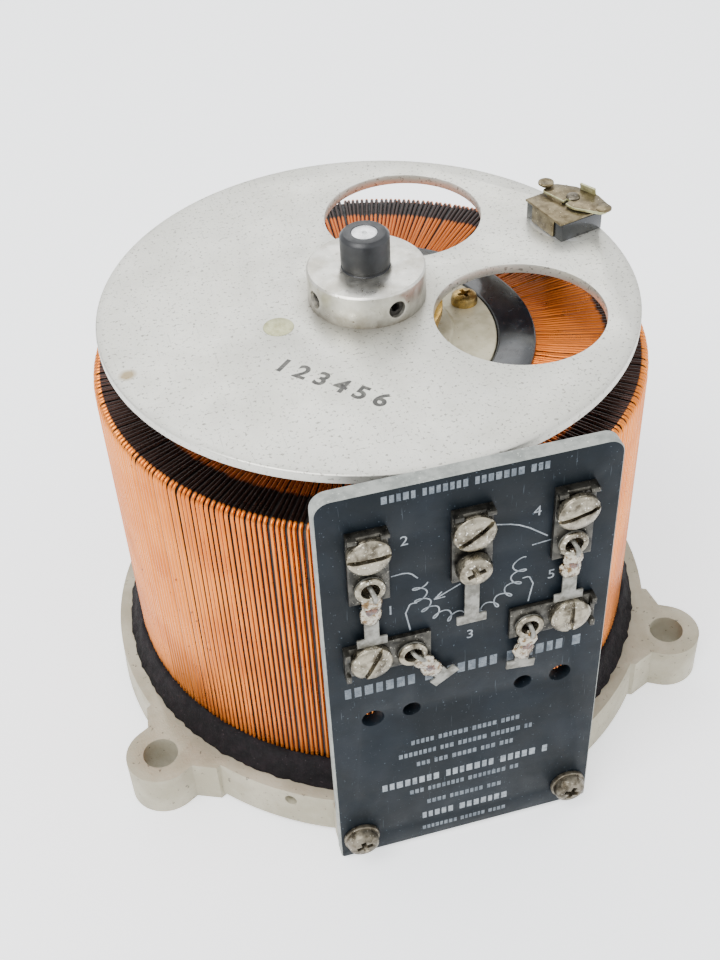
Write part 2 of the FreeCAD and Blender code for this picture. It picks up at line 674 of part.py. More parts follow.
def clamp_angle(index):
    """Azimuth of one clamp screw."""
    return f"(clamp_screw_angle + {index} * 360 / clamp_screw_count)"


# --- coil --------------------------------------------------------------------------------------

def make_coil():
    """Core, its two moulded caps, the winding round them, its seat washer and the cement bead."""
    keep(turned("core_body", rectangle("core_inner", "core_outer", "core_bottom", "core_top")), "core")
    for label, end, inside, away in (("lower_core_cap", "cap_bottom", "core_bottom", "+"),
                                     ("upper_core_cap", "cap_top", "core_top", "-")):
        outline = [
            ("cap_inner + cap_chamfer", end),
            ("cap_outer - cap_chamfer", end),
            ("cap_outer", f"{end} {away} cap_chamfer"),
            ("cap_outer", "core_middle"),
            ("core_outer", "core_middle"),
            ("core_outer", inside),
            ("core_inner", inside),
            ("core_inner", "core_middle"),
            ("cap_inner", "core_middle"),
            ("cap_inner", f"{end} {away} cap_chamfer"),
        ]
        keep(turned(f"{label}_body", outline), label)
    make_winding()
    keep(turned("seat_body", rectangle("winding_bore", "well_radius", "floor_top", "coil_bottom")),
         "lower_insulating_washer")
    keep(turned("bead_body", [
        ("winding_radius", "coil_bottom"),
        ("well_radius", "coil_bottom"),
        ("well_radius", "flange_top"),
        ("well_radius + bead_overhang", "flange_top"),
        ("winding_radius", "bead_top"),
    ]), "cement_bead")


def make_winding():
    """Band of turns round the capped core, open where the board stands."""
    body = DOC.addObject("PartDesign::Body", "winding_body")
    sketch = new_sketch(body, "winding_outline", "XZ_Plane")
    draw_outline(sketch, chamfered("winding_bore", "winding_radius", "coil_bottom", "track_top", "bend"))
    draw_outline(sketch, chamfered("cap_inner", "cap_outer", "cap_bottom", "cap_top", "cap_chamfer"),
                 tag="inner")
    feature = body.newObject("PartDesign::Revolution", "winding_turned")
    feature.Profile = sketch
    feature.ReferenceAxis = (sketch, ["V_Axis"])
    feature.Midplane = True
    tie(feature, Angle="winding_angle")
    keep(place(body, turn="90"), "winding")


# --- clamp -------------------------------------------------------------------------------------

def make_clamp():
    """Cupped washer, clamp plate, its screws, both bushings and the stop post."""
    washer = turned("cup_body", [
        ("column_bore", "cup_bottom"),
        ("cup_radius + washer_cup_wall", "cup_bottom"),
        ("cup_radius + washer_cup_wall", "track_top"),
        ("washer_radius", "track_top"),
        ("washer_radius", "track_top + washer_thickness"),
        ("cup_radius", "track_top + washer_thickness"),
        ("cup_radius", "plate_bottom"),
        ("column_bore", "plate_bottom"),
    ])
    plate = turned("plate_body", [
        ("bushing_radius", "plate_bottom"),
        ("plate_radius", "plate_bottom"),
        ("plate_radius", "plate_top"),
        ("plate_boss_radius", "plate_top"),
        ("plate_boss_radius - plate_boss_height / 2", "plate_boss_top"),
        ("bushing_radius", "plate_boss_top"),
    ])
    washer_tools = []
    plate_tools = []
    screws = []
    for index in range(int(number("clamp_screw_count"))):
        where = polar("clamp_screw_circle", clamp_angle(index))
        for tools, tag in ((washer_tools, "washer"), (plate_tools, "plate")):
            tools.append(cylinder(f"{tag}_clamp_hole_{index}", "small_screw_radius", "clamp_screw_length",
                                  z="plate_top - clamp_screw_length", **where))
        screw = pan_screw(f"clamp_screw_{index}", "clamp_screw_length")
        screws.append(place(screw, z="plate_top", turn=clamp_angle(index), **where))
    for tools, tag in ((washer_tools, "washer"), (plate_tools, "plate")):
        tools.append(cylinder(f"{tag}_post_hole", "small_screw_radius", "post_thread_length + overcut",
                              z="plate_top - post_thread_length - overcut",
                              **polar("post_circle_radius", "post_angle")))
    plate_tools.append(cylinder("pillar_hole", "pillar_spigot_radius", "plate_thickness",
                                z="plate_bottom", **polar("contact_radius", "contact_angle")))
    keep(cut("washer_cut", washer, washer_tools), "upper_insulating_washer")
    keep(cut("plate_cut", plate, plate_tools), "clamp_plate")
    keep(group("clamp_screw_group", screws), "clamp_screws")
    post = turned("post_body", [
        ("0", "plate_bottom - post_thread_length"),
        ("small_screw_radius", "plate_bottom - post_thread_length"),
        ("small_screw_radius", "plate_top"),
        ("post_radius", "plate_top"),
        ("post_radius", "disc_bottom - post_gap"),
        ("0", "disc_bottom - post_gap"),
    ])
    keep(place(post, **polar("post_circle_radius", "post_angle")), "stop_post")
    keep(turned("upper_bushing_body", rectangle("bushing_bore", "bushing_radius",
                                                "plate_boss_top - upper_bushing_length",
                                                "plate_boss_top")), "upper_bushing")
    keep(turned("lower_bushing_body", rectangle("bushing_bore", "bushing_radius",
                                                "boss_bottom", "boss_top")), "lower_bushing")


def pan_screw(name, length, head_radius="pan_head_radius"):
    """Cross-recessed pan-head screw, upright, with its head's underside at zero."""
    head = turned(f"{name}_body", [
        ("0", f"-({length})"),
        ("small_screw_radius", f"-({length})"),
        ("small_screw_radius", "0"),
        (head_radius, "0"),
        (head_radius, "pan_head_height / 2"),
        (f"{head_radius} * crown_share", "pan_head_height"),
        ("0", "pan_head_height"),
    ])
    arms = [
        block(f"{name}_arm_0", "cross_length", "cross_width", "cross_depth + overcut", x="-cross_length / 2",
              y="-cross_width / 2", z="pan_head_height - cross_depth"),
        block(f"{name}_arm_1", "cross_width", "cross_length", "cross_depth + overcut", x="-cross_width / 2",
              y="-cross_length / 2", z="pan_head_height - cross_depth"),
    ]
    return cut(f"{name}_cut", head, arms)


def make_take_off():
    """Contact leaf under the slip ring, its insulating pillar and its screw."""
    where = polar("contact_radius", "contact_angle")
    pillar = turned("pillar_body", [
        ("contact_screw_radius", "plate_bottom"),
        ("pillar_spigot_radius", "plate_bottom"),
        ("pillar_spigot_radius", "plate_top"),
        ("pillar_radius", "plate_top"),
        ("pillar_radius", "pillar_top"),
        ("contact_screw_radius", "pillar_top"),
    ])
    keep(place(pillar, **where), "contact_insulator")
    leaf = DOC.addObject("PartDesign::Body", "leaf_body")

    def draw_leaf(sketch):
        draw_outline(sketch, [
            ("leaf_inner", "-leaf_tip_half_width"),
            ("contact_radius - pillar_radius", "-leaf_half_width"),
            ("leaf_outer", "-leaf_half_width"),
            ("leaf_outer", "leaf_half_width"),
            ("contact_radius - pillar_radius", "leaf_half_width"),
            ("leaf_inner", "leaf_tip_half_width"),
        ])
        draw_circle(sketch, "contact_radius", "0", "contact_screw_radius")

    pad(leaf, "leaf", draw_leaf, "leaf_thickness", offset="pillar_top")
    keep(place(leaf, turn="contact_angle"), "contact_leaf")
    screw = turned("contact_screw_body", [
        ("0", "plate_bottom + washer_thickness / 2"),
        ("contact_screw_radius", "plate_bottom + washer_thickness / 2"),
        ("contact_screw_radius", "leaf_top"),
        ("contact_head_radius", "leaf_top"),
        ("contact_head_radius * crown_share", "leaf_top + contact_head_height"),
        ("0", "leaf_top + contact_head_height"),
    ])
    keep(place(screw, **where), "contact_screw")


# --- rotor -------------------------------------------------------------------------------------

def make_shaft():
    """Steel core in an insulating sleeve, with its washers and retaining ring."""
    keep(turned("shaft_body", rectangle("0", "shaft_radius", "shaft_bottom", "shaft_top")), "shaft_core")
    keep(turned("sleeve_body", [
        ("shaft_radius", "shaft_bottom"),
        ("sleeve_radius", "shaft_bottom"),
        ("sleeve_radius", "hub_top"),
        ("sleeve_radius - sleeve_groove_depth", "hub_top"),
        ("sleeve_radius - sleeve_groove_depth", "hub_top + sleeve_groove_width"),
        ("sleeve_radius", "hub_top + sleeve_groove_width"),
        ("sleeve_radius", "shaft_top - shaft_chamfer"),
        ("sleeve_radius - shaft_chamfer", "shaft_top"),
        ("shaft_radius", "shaft_top"),
    ]), "shaft_sleeve")
    keep(turned("upper_thrust_body", rectangle("sleeve_radius", "thrust_washer_radius",
                                               "hub_foot - thrust_washer_thickness", "hub_foot")),
         "upper_thrust_washer")
    low = "boss_bottom - end_play"
    keep(turned("lower_thrust_body", rectangle("sleeve_radius", "thrust_washer_radius",
                                               f"{low} - thrust_washer_thickness", low)),
         "lower_thrust_washer")
    keep(turned("ring_body", rectangle("sleeve_radius", "retaining_ring_radius",
                                       f"{low} - thrust_washer_thickness - retaining_ring_thickness",
                                       f"{low} - thrust_washer_thickness")),
         "retaining_ring")


def make_hub():
    """Clamping hub with two set screws, the backing ring and the slip ring under the disc."""
    hub = turned("hub_body", [
        ("sleeve_radius", "hub_foot"),
        ("spigot_radius", "hub_foot"),
        ("spigot_radius", "disc_top"),
        ("hub_radius", "disc_top"),
        ("hub_radius", "hub_top - hub_chamfer"),
        ("hub_radius - hub_chamfer", "hub_top"),
        ("sleeve_radius", "hub_top"),
    ])
    holes = []
    screws = []
    for index, azimuth in enumerate((180, -90)):
        hole = cylinder(f"set_hole_{index}", "set_screw_radius", "hub_radius - sleeve_radius + 2 * overcut",
                        z="disc_top + set_screw_height", **polar("(sleeve_radius - overcut)", azimuth))
        holes.append(lay_outward(hole, azimuth))
        barrel = turned(f"set_screw_{index}", rectangle("0", "set_screw_radius", "0", "set_screw_length"))
        socket = DOC.addObject("Part::Prism", f"socket_{index}")
        tie(socket, Circumradius="hex_radius", Height="hex_depth + overcut")
        place(socket, z="set_screw_length - hex_depth")
        screw = cut(f"set_screw_cut_{index}", barrel, [socket])
        place(screw, z="disc_top + set_screw_height",
              **polar("(hub_radius - set_screw_sink - set_screw_length)", azimuth))
        screws.append(lay_outward(screw, azimuth))
    keep(place(cut("hub_cut", hub, holes), turn="brush_angle"), "hub_collar")
    keep(place(group("set_screw_group", screws), turn="brush_angle"), "set_screws")
    keep(turned("backing_body", rectangle("spigot_radius", "hub_flange_radius", "hub_flange_bottom",
                                          "disc_bottom")), "backing_ring")
    keep(turned("slip_ring_body", rectangle("spigot_radius", "slip_ring_radius", "slip_ring_bottom",
                                            "hub_flange_bottom")), "slip_ring")


def make_disc():
    """Radiator disc with its two windows, the holder's slot and the rivet's hole."""
    body = DOC.addObject("PartDesign::Body", "disc_body")
    turn_feature(body, "disc", [
        ("spigot_radius", "disc_bottom"),
        ("disc_radius - disc_edge", "disc_bottom"),
        ("disc_radius", "disc_bottom + disc_edge"),
        ("disc_radius", "disc_top - disc_edge"),
        ("disc_radius - disc_edge", "disc_top"),
        ("spigot_radius", "disc_top"),
    ])

    def draw_windows(sketch):
        for tag, angle in (("left", "window_angle"), ("right", "-window_angle")):
            draw_circle(sketch, f"window_circle_radius * cos({angle})",
                        f"window_circle_radius * sin({angle})", "window_radius", tag=tag)

    def draw_slot(sketch):
        draw_outline(sketch, rectangle("stem_inner - stem_gap", "stem_outer + stem_gap",
                                       "-stem_half_width - stem_gap", "stem_half_width + stem_gap"))

    pocket(body, "windows", draw_windows, "disc_thickness + 2 * overcut", offset="disc_top + overcut")
    pocket(body, "stem_slot", draw_slot, "disc_thickness + 2 * overcut", offset="disc_top + overcut")
    pocket(body, "rivet_hole",
           lambda sketch: draw_circle(sketch, "-rivet_circle_radius", "0", "rivet_head_radius"),
           "disc_thickness + 2 * overcut", offset="disc_top + overcut")
    keep(place(body, turn="brush_angle"), "radiator_disc")


def make_stop_arm():
    """Stop arm opposite the brush, and the rivet that holds it."""
    arm = DOC.addObject("PartDesign::Body", "arm_body")

    def draw_arm(sketch):
        draw_outline(sketch, [
            ("-arm_inner", "-arm_half_width"),
            ("-arm_inner", "arm_half_width"),
            ("-arm_outer + arm_corner", "arm_half_width"),
            ("-arm_outer", "arm_tip_half_width"),
            ("-arm_outer", "-arm_tip_half_width"),
            ("-arm_outer + arm_corner", "-arm_half_width"),
        ])
        draw_circle(sketch, "-rivet_circle_radius", "0", "rivet_radius")

    pad(arm, "arm", draw_arm, "arm_thickness", offset="arm_bottom")
    keep(place(arm, turn="brush_angle"), "stop_arm")
    rivet = turned("rivet_body", [
        ("0", "arm_bottom - rivet_tail_height"),
        ("rivet_tail_radius", "arm_bottom - rivet_tail_height"),
        ("rivet_tail_radius", "arm_bottom"),
        ("rivet_radius", "arm_bottom"),
        ("rivet_radius", "disc_bottom"),
        ("rivet_head_radius", "disc_bottom"),
        ("rivet_head_radius", "disc_top + rivet_proud"),
        ("0", "disc_top + rivet_proud"),
    ])
    keep(place(rivet, **polar("rivet_circle_radius", "(brush_angle + 180)")), "stop_rivet")


def make_brush():
    """Brush holder with its bronze cage, the carbon brush, its spring, the turning clip and its pin."""
    upper = block("holder_head", "holder_outer - holder_inner", "2 * holder_half_width", "holder_height",
                  x="holder_inner", y="-holder_half_width", z="disc_top")
    stem = block("holder_stem", "stem_outer - stem_inner", "2 * stem_half_width",
                 "disc_top - holder_foot", x="stem_inner", y="-stem_half_width", z="holder_foot")
    channel = block("holder_channel", "pocket_length", "2 * pocket_half_width",
                    "holder_top - holder_foot + 2 * overcut", x="pocket_inner", y="-pocket_half_width",
                    z="holder_foot - overcut")
    pin_hole = cylinder("pin_hole", "clip_pin_radius", "holder_height", x="clip_radius",
                        z="disc_top + overcut")
    holder = cut("holder_cut", fuse("holder_solid", [upper, stem]), [channel, pin_hole])
    keep(place(holder, turn="brush_angle"), "brush_holder")

    roof = block("cage_roof", "holder_outer - holder_inner + cage_thickness", "2 * holder_half_width",
                 "cage_thickness", x="holder_inner - cage_thickness", y="-holder_half_width",
                 z="holder_top")
    lip = block("cage_lip", "cage_thickness", "2 * cage_lip_half_width", "cage_lip_height",
                x="holder_inner - cage_thickness", y="-cage_lip_half_width",
                z="holder_top - cage_lip_height")
    roof_hole = cylinder("roof_hole", "clip_pin_radius", "2 * overcut", x="clip_radius",
                         z="holder_top - overcut")
    cage = cut("cage_cut", fuse("cage_solid", [roof, lip]), [roof_hole])
    keep(place(cage, turn="brush_angle"), "holder_cage")

    carbon = block("carbon_block", "brush_length", "brush_width", "brush_height", x="brush_inner",
                   y="-brush_width / 2", z="brush_bottom")
    nick = block("carbon_nick", "brush_length", "brush_nick", "brush_nick", x="brush_inner",
                 y="brush_width / 2 - brush_nick", z="brush_bottom - brush_nick / 4")
    keep(place(cut("carbon_cut", carbon, [nick]), turn="brush_angle"), "carbon_brush")

    spring = turned("spring_body", rectangle("spring_radius - spring_wire", "spring_radius",
                                             "brush_top", "holder_top"))
    keep(place(spring, **polar("brush_middle", "brush_angle")), "brush_spring")

    keep(make_clip(), "brush_clip")
    pin = turned("pin_body", [
        ("0", "disc_top + overcut"),
        ("clip_pin_radius", "disc_top + overcut"),
        ("clip_pin_radius", "pin_head_bottom"),
        ("pin_head_radius", "pin_head_bottom"),
        ("pin_head_radius * crown_share", "pin_head_bottom + pin_head_height"),
        ("0", "pin_head_bottom + pin_head_height"),
    ])
    keep(place(pin, **polar("clip_radius", "brush_angle")), "clip_pin")


def make_clip():
    """Lozenge-shaped clip with a round tab at each end and a finger tab on its outer side."""
    body = DOC.addObject("PartDesign::Body", "clip_body")

    def draw_plate(sketch):
        draw_outline(sketch, [
            ("clip_radius - clip_half_width", "-clip_shoulder_half_length"),
            ("clip_radius - clip_tip_half_width", "-clip_half_length"),
            ("clip_radius + clip_tip_half_width", "-clip_half_length"),
            ("clip_radius + clip_half_width", "-clip_back_half_length"),
            ("clip_radius + clip_half_width", "clip_back_half_length"),
            ("clip_radius + clip_tip_half_width", "clip_half_length"),
            ("clip_radius - clip_tip_half_width", "clip_half_length"),
            ("clip_radius - clip_half_width", "clip_shoulder_half_length"),
        ])
        draw_circle(sketch, "clip_radius", "0", "clip_pin_radius + 2 * running_clearance")

    pad(body, "clip", draw_plate, "clip_thickness", offset="clip_bottom")
    buttons = [cylinder(f"clip_button_{tag}", "clip_button_radius", "clip_button_height",
                        x="clip_radius", y=f"{side} * (clip_half_length - clip_button_inset)",
                        z="clip_top")
               for tag, side in (("near", "-1"), ("far", "1"))]
    tab = block("clip_tab", "clip_thickness", "2 * clip_tab_half_length", "clip_tab_height",
                x="clip_radius + clip_half_width - clip_thickness", y="-clip_tab_half_length", z="clip_top")
    return place(fuse("clip_solid", [body, tab] + buttons), turn="brush_angle")


# --- terminal board ------------------------------------------------------------------------------

SIDES = (("left", "-1"), ("right", "1"))


def screw_place(name):
    """Offset from the middle and height of a terminal's binding screw."""
    row, side = name.split("_")
    sign = {"left": "-1", "center": "0", "right": "1"}[side]
    if row == "upper":
        return f"{sign} * upper_offset", "upper_screw_height"
    return f"{sign} * lower_screw_offset", "lower_screw_height"


def eyelet_place(name):
    """Offset from the middle and height of a terminal's eyelet or lug screw."""
    row, side = name.split("_")
    sign = {"left": "-1", "center": "0", "right": "1"}[side]
    if row == "upper":
        return f"{sign} * upper_offset", "upper_eyelet_height"
    return f"{sign} * lower_eyelet_offset", "lower_eyelet_height"


# Each terminal, with how far its binding screw is backed off from its strap.
TERMINALS = {
    "upper_left": "0.3",
    "upper_center": "0.6",
    "upper_right": "2.2",
    "lower_left": "0.3",
    "lower_right": "0.3",
}


def make_board():
    """Upright board with rounded upper corners, drilled for its terminals and screws."""
    tall = forward_block("board_tall", "-board_half_width", "board_half_width", "board_back",
                         "board_thickness", "board_bottom", "board_top - board_corner")
    head = forward_block("board_head", "board_corner - board_half_width", "board_half_width - board_corner",
                         "board_back", "board_thickness", "board_bottom", "board_top")
    corners = [forward_cylinder(f"board_corner_{tag}", "board_corner", "board_thickness",
                                f"{side} * (board_half_width - board_corner)", "board_back",
                                "board_top - board_corner") for tag, side in SIDES]
    holes = []

    def drill(name, radius, x, z):
        holes.append(forward_cylinder(name, radius, "board_thickness + 2 * overcut", x,
                                      "board_back - overcut", z))

    for name in TERMINALS:
        drill(f"{name}_screw_hole", "binding_radius", *screw_place(name))
        radius = "small_screw_radius" if name == "upper_center" else "eyelet_radius"
        drill(f"{name}_eyelet_hole", radius, *eyelet_place(name))
    for tag, side in SIDES:
        drill(f"spare_outer_{tag}", "spare_outer_radius", f"{side} * spare_outer_offset", "spare_height")
        drill(f"spare_inner_{tag}", "spare_inner_radius", f"{side} * spare_inner_offset", "spare_height")
        drill(f"foot_{tag}", "small_screw_radius", f"{side} * board_screw_offset", "board_screw_height")
    keep(cut("board_cut", fuse("board_solid", [tall, head] + corners), holes), "terminal_board")


def make_board_screws():
    """Two pan-head screws with lock washers, which hold the board to the casting's pads."""
    screws = []
    washers = []
    for tag, side in SIDES:
        screw = pan_screw(f"board_screw_{tag}",
                          "lock_washer_thickness + board_thickness + board_screw_reach")
        screws.append(face_forward(screw, f"{side} * board_screw_offset",
                                   "board_front + lock_washer_thickness", "board_screw_height"))
        washer = turned(f"lock_washer_{tag}", rectangle("small_screw_radius", "lock_washer_radius", "0",
                                                        "lock_washer_thickness"))
        washers.append(face_forward(washer, f"{side} * board_screw_offset", "board_front",
                                    "board_screw_height"))
    keep(group("board_screw_group", screws), "board_screws")
    keep(group("lock_washer_group", washers), "lock_washers")


def face_forward(piece, x, distance, z):
    """Lay an upright piece so that its top points away from the coil, along -Y."""
    return place(piece, x=x, y=f"-({distance})", z=z, axis=(1, 0, 0), turn="90")


def upright_strap(name):
    """Upper terminal's strap: a flat plate with two upturned tabs and a low lip at its top."""
    x, eyelet_z = eyelet_place(name)
    low = f"({x}) - strap_half_width"
    high = f"({x}) + strap_half_width"
    edge = "strap_top - strap_thickness"
    return [
        forward_block(f"{name}_plate", low, high, "board_front", "strap_thickness",
                      f"{eyelet_z} - strap_tail", "strap_top"),
        forward_block(f"{name}_tab_0", low, f"{low} + ear_tab_width", "board_front", "ear_tab_height",
                      edge, "strap_top"),
        forward_block(f"{name}_tab_1", f"{high} - ear_tab_width", high, "board_front", "ear_tab_height",
                      edge, "strap_top"),
        forward_block(f"{name}_lip", low, high, "board_front", "lip_height", edge, "strap_top"),
    ]


def flat_strap(name):
    """Lower terminal's strap: it lies across the board, with its tabs at the outer end."""
    sign = "-1" if name.endswith("left") else "1"
    ends = [f"{sign} * (lower_eyelet_offset - strap_tail)", f"{sign} * lower_strap_end"]
    inner_tab = [f"{sign} * (lower_strap_end - strap_thickness)", f"{sign} * lower_strap_end"]
    if sign == "-1":
        ends.reverse()
        inner_tab.reverse()
    low = "lower_screw_height - strap_half_width"
    high = "lower_screw_height + strap_half_width"
    return [
        forward_block(f"{name}_plate", *ends, "board_front", "strap_thickness", low, high),
        forward_block(f"{name}_tab_0", *inner_tab, "board_front", "ear_tab_height", low,
                      f"{low} + ear_tab_width"),
        forward_block(f"{name}_tab_1", *inner_tab, "board_front", "ear_tab_height",
                      f"{high} - ear_tab_width", high),
        forward_block(f"{name}_lip", *inner_tab, "board_front", "lip_height", low, high),
    ]


def make_straps():
    """The five terminal straps."""
    for name in TERMINALS:
        blocks = upright_strap(name) if name.startswith("upper") else flat_strap(name)
        radius = "small_screw_radius" if name == "upper_center" else "eyelet_radius"
        screw_x, screw_z = screw_place(name)
        eyelet_x, eyelet_z = eyelet_place(name)
        holes = [
            forward_cylinder(f"{name}_strap_screw_hole", "binding_radius",
                             "strap_thickness + 2 * overcut", screw_x, "board_front - overcut", screw_z),
            forward_cylinder(f"{name}_strap_eyelet_hole", radius, "strap_thickness + 2 * overcut",
                             eyelet_x, "board_front - overcut", eyelet_z),
        ]
        keep(cut(f"{name}_strap_cut", fuse(f"{name}_strap_solid", blocks), holes), f"{name}_strap")


def make_binding_screws():
    """Slotted binding screws, one per terminal."""
    screws = []
    for name, backed_off in TERMINALS.items():
        stack = f"strap_thickness + {backed_off}"
        length = f"{stack} + board_thickness + binding_reach"
        body = turned(f"{name}_screw_body", [
            ("0", f"-({length})"),
            ("binding_radius", f"-({length})"),
            ("binding_radius", "0"),
            ("binding_head_radius", "0"),
            ("binding_head_radius", "binding_edge_height"),
            ("binding_head_radius * crown_share", "binding_head_height"),
            ("0", "binding_head_height"),
        ])
        slot = block(f"{name}_slot", "2 * binding_head_radius + overcut", "slot_width",
                     "slot_depth + overcut", x="-binding_head_radius - overcut / 2", y="-slot_width / 2",
                     z="binding_head_height - slot_depth")
        screw = cut(f"{name}_screw_cut", body, [slot])
        x, z = screw_place(name)
        screws.append(face_forward(screw, x, f"board_front + {stack}", z))
    keep(group("binding_screw_group", screws), "binding_screws")


def make_lugs():
    """Solder lugs, the eyelets that fix four of them, and the fifth one's screw."""
    eyelets = []
    for name in TERMINALS:
        x, z = eyelet_place(name)
        radius = "small_screw_radius" if name == "upper_center" else "eyelet_radius"
        keep(make_lug(name, x, z, radius), f"{name}_lug")
        if name == "upper_center":
            stack = "lug_thickness + strap_thickness + board_thickness"
            screw = pan_screw("center_screw", f"{stack} + center_screw_reach")
            keep(face_forward(screw, x, "lug_front", z), "center_lug_screw")
        else:
            eyelets.append(face_forward(make_eyelet(name), x, "board_back", z))
    keep(group("eyelet_group", eyelets), "eyelets")


def make_lug(name, x, z, hole_radius):
    """Solder lug: a ring under the eyelet, a neck and a cross bar."""
    def bar(tag, half_width, low, high):
        return forward_block(f"{name}_lug_{tag}", f"({x}) - {half_width}", f"({x}) + {half_width}",
                             "strap_front", "lug_thickness", low, high)

    ring = forward_cylinder(f"{name}_lug_ring", "lug_eye_radius", "lug_thickness", x, "strap_front", z)
    end = "upper_lug_end" if name.startswith("upper") else f"{z} - lower_lug_reach"
    neck = bar("neck", "lug_neck_half_width", end, z)
    foot = bar("foot", "lug_bar_half_width", end, f"{end} + lug_bar_height")
    hole = forward_cylinder(f"{name}_lug_hole", hole_radius, "lug_thickness + 2 * overcut", x,
                            "strap_front - overcut", z)
    return cut(f"{name}_lug_cut", fuse(f"{name}_lug_solid", [ring, neck, foot]), [hole])


def make_eyelet(name):
    """Flanged eyelet, upright, with the board's back at zero."""
    stack = "board_thickness + strap_thickness + lug_thickness"
    return turned(f"{name}_eyelet", [
        ("eyelet_bore", "-eyelet_flange_thickness"),
        ("eyelet_flange", "-eyelet_flange_thickness"),
        ("eyelet_flange", "0"),
        ("eyelet_radius", "0"),
        ("eyelet_radius", stack),
        ("eyelet_flange", stack),
        ("eyelet_flange_top", f"{stack} + eyelet_flange_thickness"),
        ("eyelet_bore", f"{stack} + eyelet_flange_thickness"),
    ])


def make_leads():
    """Leads from the winding to four eyelets, and from the take-off contact to the middle terminal."""
    front = -number("lug_front + eyelet_flange_thickness + lead_proud")
    radius = number("lead_radius")
    bend = number("lead_bend")
    middle_gap = -number("(winding_radius + board_back) / 2")
    surface = number("winding_radius")
    end_turn = number("winding_radius * sin((360 - winding_angle) / 2) + tap_setback")
    for name in TERMINALS:
        if name == "upper_center":
            continue
        x_formula, z_formula = eyelet_place(name)
        x = number(x_formula)
        z = number(z_formula)
        straight = abs(x) > end_turn
        tap_x = x if straight else math.copysign(max(end_turn, abs(x) + 3 * bend), x)
        start = Vector(tap_x, -math.sqrt(surface ** 2 - tap_x ** 2) - radius, z)
        if straight:
            route = [start, Vector(x, front, z)]
        else:
            route = [start, Vector(tap_x, middle_gap, z), Vector(x, middle_gap, z), Vector(x, front, z)]
        keep(tube(f"{name}_lead_wire", route, radius, bend), f"{name}_tap_lead")
    angle = math.radians(number("contact_angle"))
    reach = number("leaf_outer")
    height = number("brush_lead_height")
    end_z = number("upper_eyelet_height")
    thick = number("brush_lead_radius")
    outward = Vector(math.cos(angle), math.sin(angle), 0)
    start = outward * reach + Vector(0, 0, height)
    clear = outward * number("brush_lead_turn") + Vector(0, 0, height)
    turn_x = number("strap_half_width")
    fix_y = -number("board_back") + thick * 2
    route = [start, clear, Vector(turn_x, -number("winding_radius"), height), Vector(turn_x, fix_y, height),
             Vector(turn_x, fix_y, end_z), Vector(number("small_screw_radius") + thick, fix_y, end_z)]
    keep(tube("brush_lead_wire", route, thick, bend), "brush_lead")


def tube(name, route, radius, bend):
    """Round wire along straight runs joined by tangent arcs."""
    edges = []
    start = route[0]
    for before, corner, after in zip(route, route[1:], route[2:]):
        arriving = (corner - before).normalize()
        leaving = (after - corner).normalize()
        half_turn = arriving.getAngle(leaving) / 2
        trim = bend * math.tan(half_turn)
        arc_start = corner - arriving * trim
        arc_end = corner + leaving * trim
        inward = (leaving - arriving).normalize()
        middle = corner + inward * (bend / math.cos(half_turn) - bend)
        edges.append(Part.LineSegment(start, arc_start).toShape())
        edges.append(Part.Arc(arc_start, middle, arc_end).toShape())
        start = arc_end
    edges.append(Part.LineSegment(start, route[-1]).toShape())
    path = Part.Wire(edges)
    direction = (route[1] - route[0]).normalize()
    section = Part.Wire([Part.Circle(route[0], direction, radius).toShape()])
    wire = DOC.addObject("Part::Feature", name)
    wire.Shape = path.makePipeShell([section], True, False)
    wire.Placement = FreeCAD.Placement()
    expected = math.pi * radius ** 2 * path.Length
    if abs(wire.Shape.Volume / expected - 1) > SECTION_TOLERANCE:
        raise RuntimeError(f"{name} lost its section on the way")
    return wire


def check_and_write():
    """Stop on a failed object or a bad solid; write one STEP file per sub-part."""
    DOC.recompute()
    for item in DOC.Objects:
        if "Invalid" in item.State or "Error" in item.State:
            raise RuntimeError(f"{item.Name} failed: {item.State}")
    os.makedirs("parts", exist_ok=True)
    for piece in SUB_PARTS:
        shape = piece.Shape
        if shape.isNull() or not shape.isValid() or not shape.Solids:
            raise RuntimeError(f"{piece.Label} has no valid solid")
        shape.exportStep(f"parts/{piece.Label}.step")
        print(f"{piece.Label:28s} solids {len(shape.Solids)}  volume {shape.Volume:10.1f} mm3")
    print(f"{len(SUB_PARTS)} sub-parts")


fill_sheet()
make_base_casting()
make_column()
make_coil()
make_clamp()
make_take_off()
make_shaft()
make_hub()
make_disc()
make_stop_arm()
make_brush()
make_board()
make_board_screws()
make_straps()
make_binding_screws()
make_lugs()
make_leads()
check_and_write()
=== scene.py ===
"""Looks of an open-frame variable autotransformer: its finishes, its detailed pieces and the studio.

Sizes are millimetres in the row frame, and turn into metres when a piece is finished.
"""

import logging
import math
import random
from dataclasses import dataclass
from enum import Enum
from typing import Iterable, Sequence

import bmesh
import bpy
from mathutils import Matrix, Vector, noise


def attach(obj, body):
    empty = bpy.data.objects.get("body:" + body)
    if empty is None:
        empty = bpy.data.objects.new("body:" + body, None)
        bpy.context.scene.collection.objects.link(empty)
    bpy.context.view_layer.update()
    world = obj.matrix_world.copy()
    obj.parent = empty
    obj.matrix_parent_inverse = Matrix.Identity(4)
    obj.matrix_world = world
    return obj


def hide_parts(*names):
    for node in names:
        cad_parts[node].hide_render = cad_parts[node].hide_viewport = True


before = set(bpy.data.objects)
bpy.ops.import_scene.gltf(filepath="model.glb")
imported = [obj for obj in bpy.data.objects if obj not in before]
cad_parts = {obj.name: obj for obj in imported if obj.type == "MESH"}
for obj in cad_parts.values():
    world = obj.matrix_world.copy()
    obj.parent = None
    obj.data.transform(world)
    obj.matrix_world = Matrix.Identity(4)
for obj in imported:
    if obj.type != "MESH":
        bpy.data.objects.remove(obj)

LOG = logging.getLogger("autotransformer")
MM = 0.001
Point = tuple[float, float]
Path = list[Point]


# --- finishes ---------------------------------------------------------------------------------

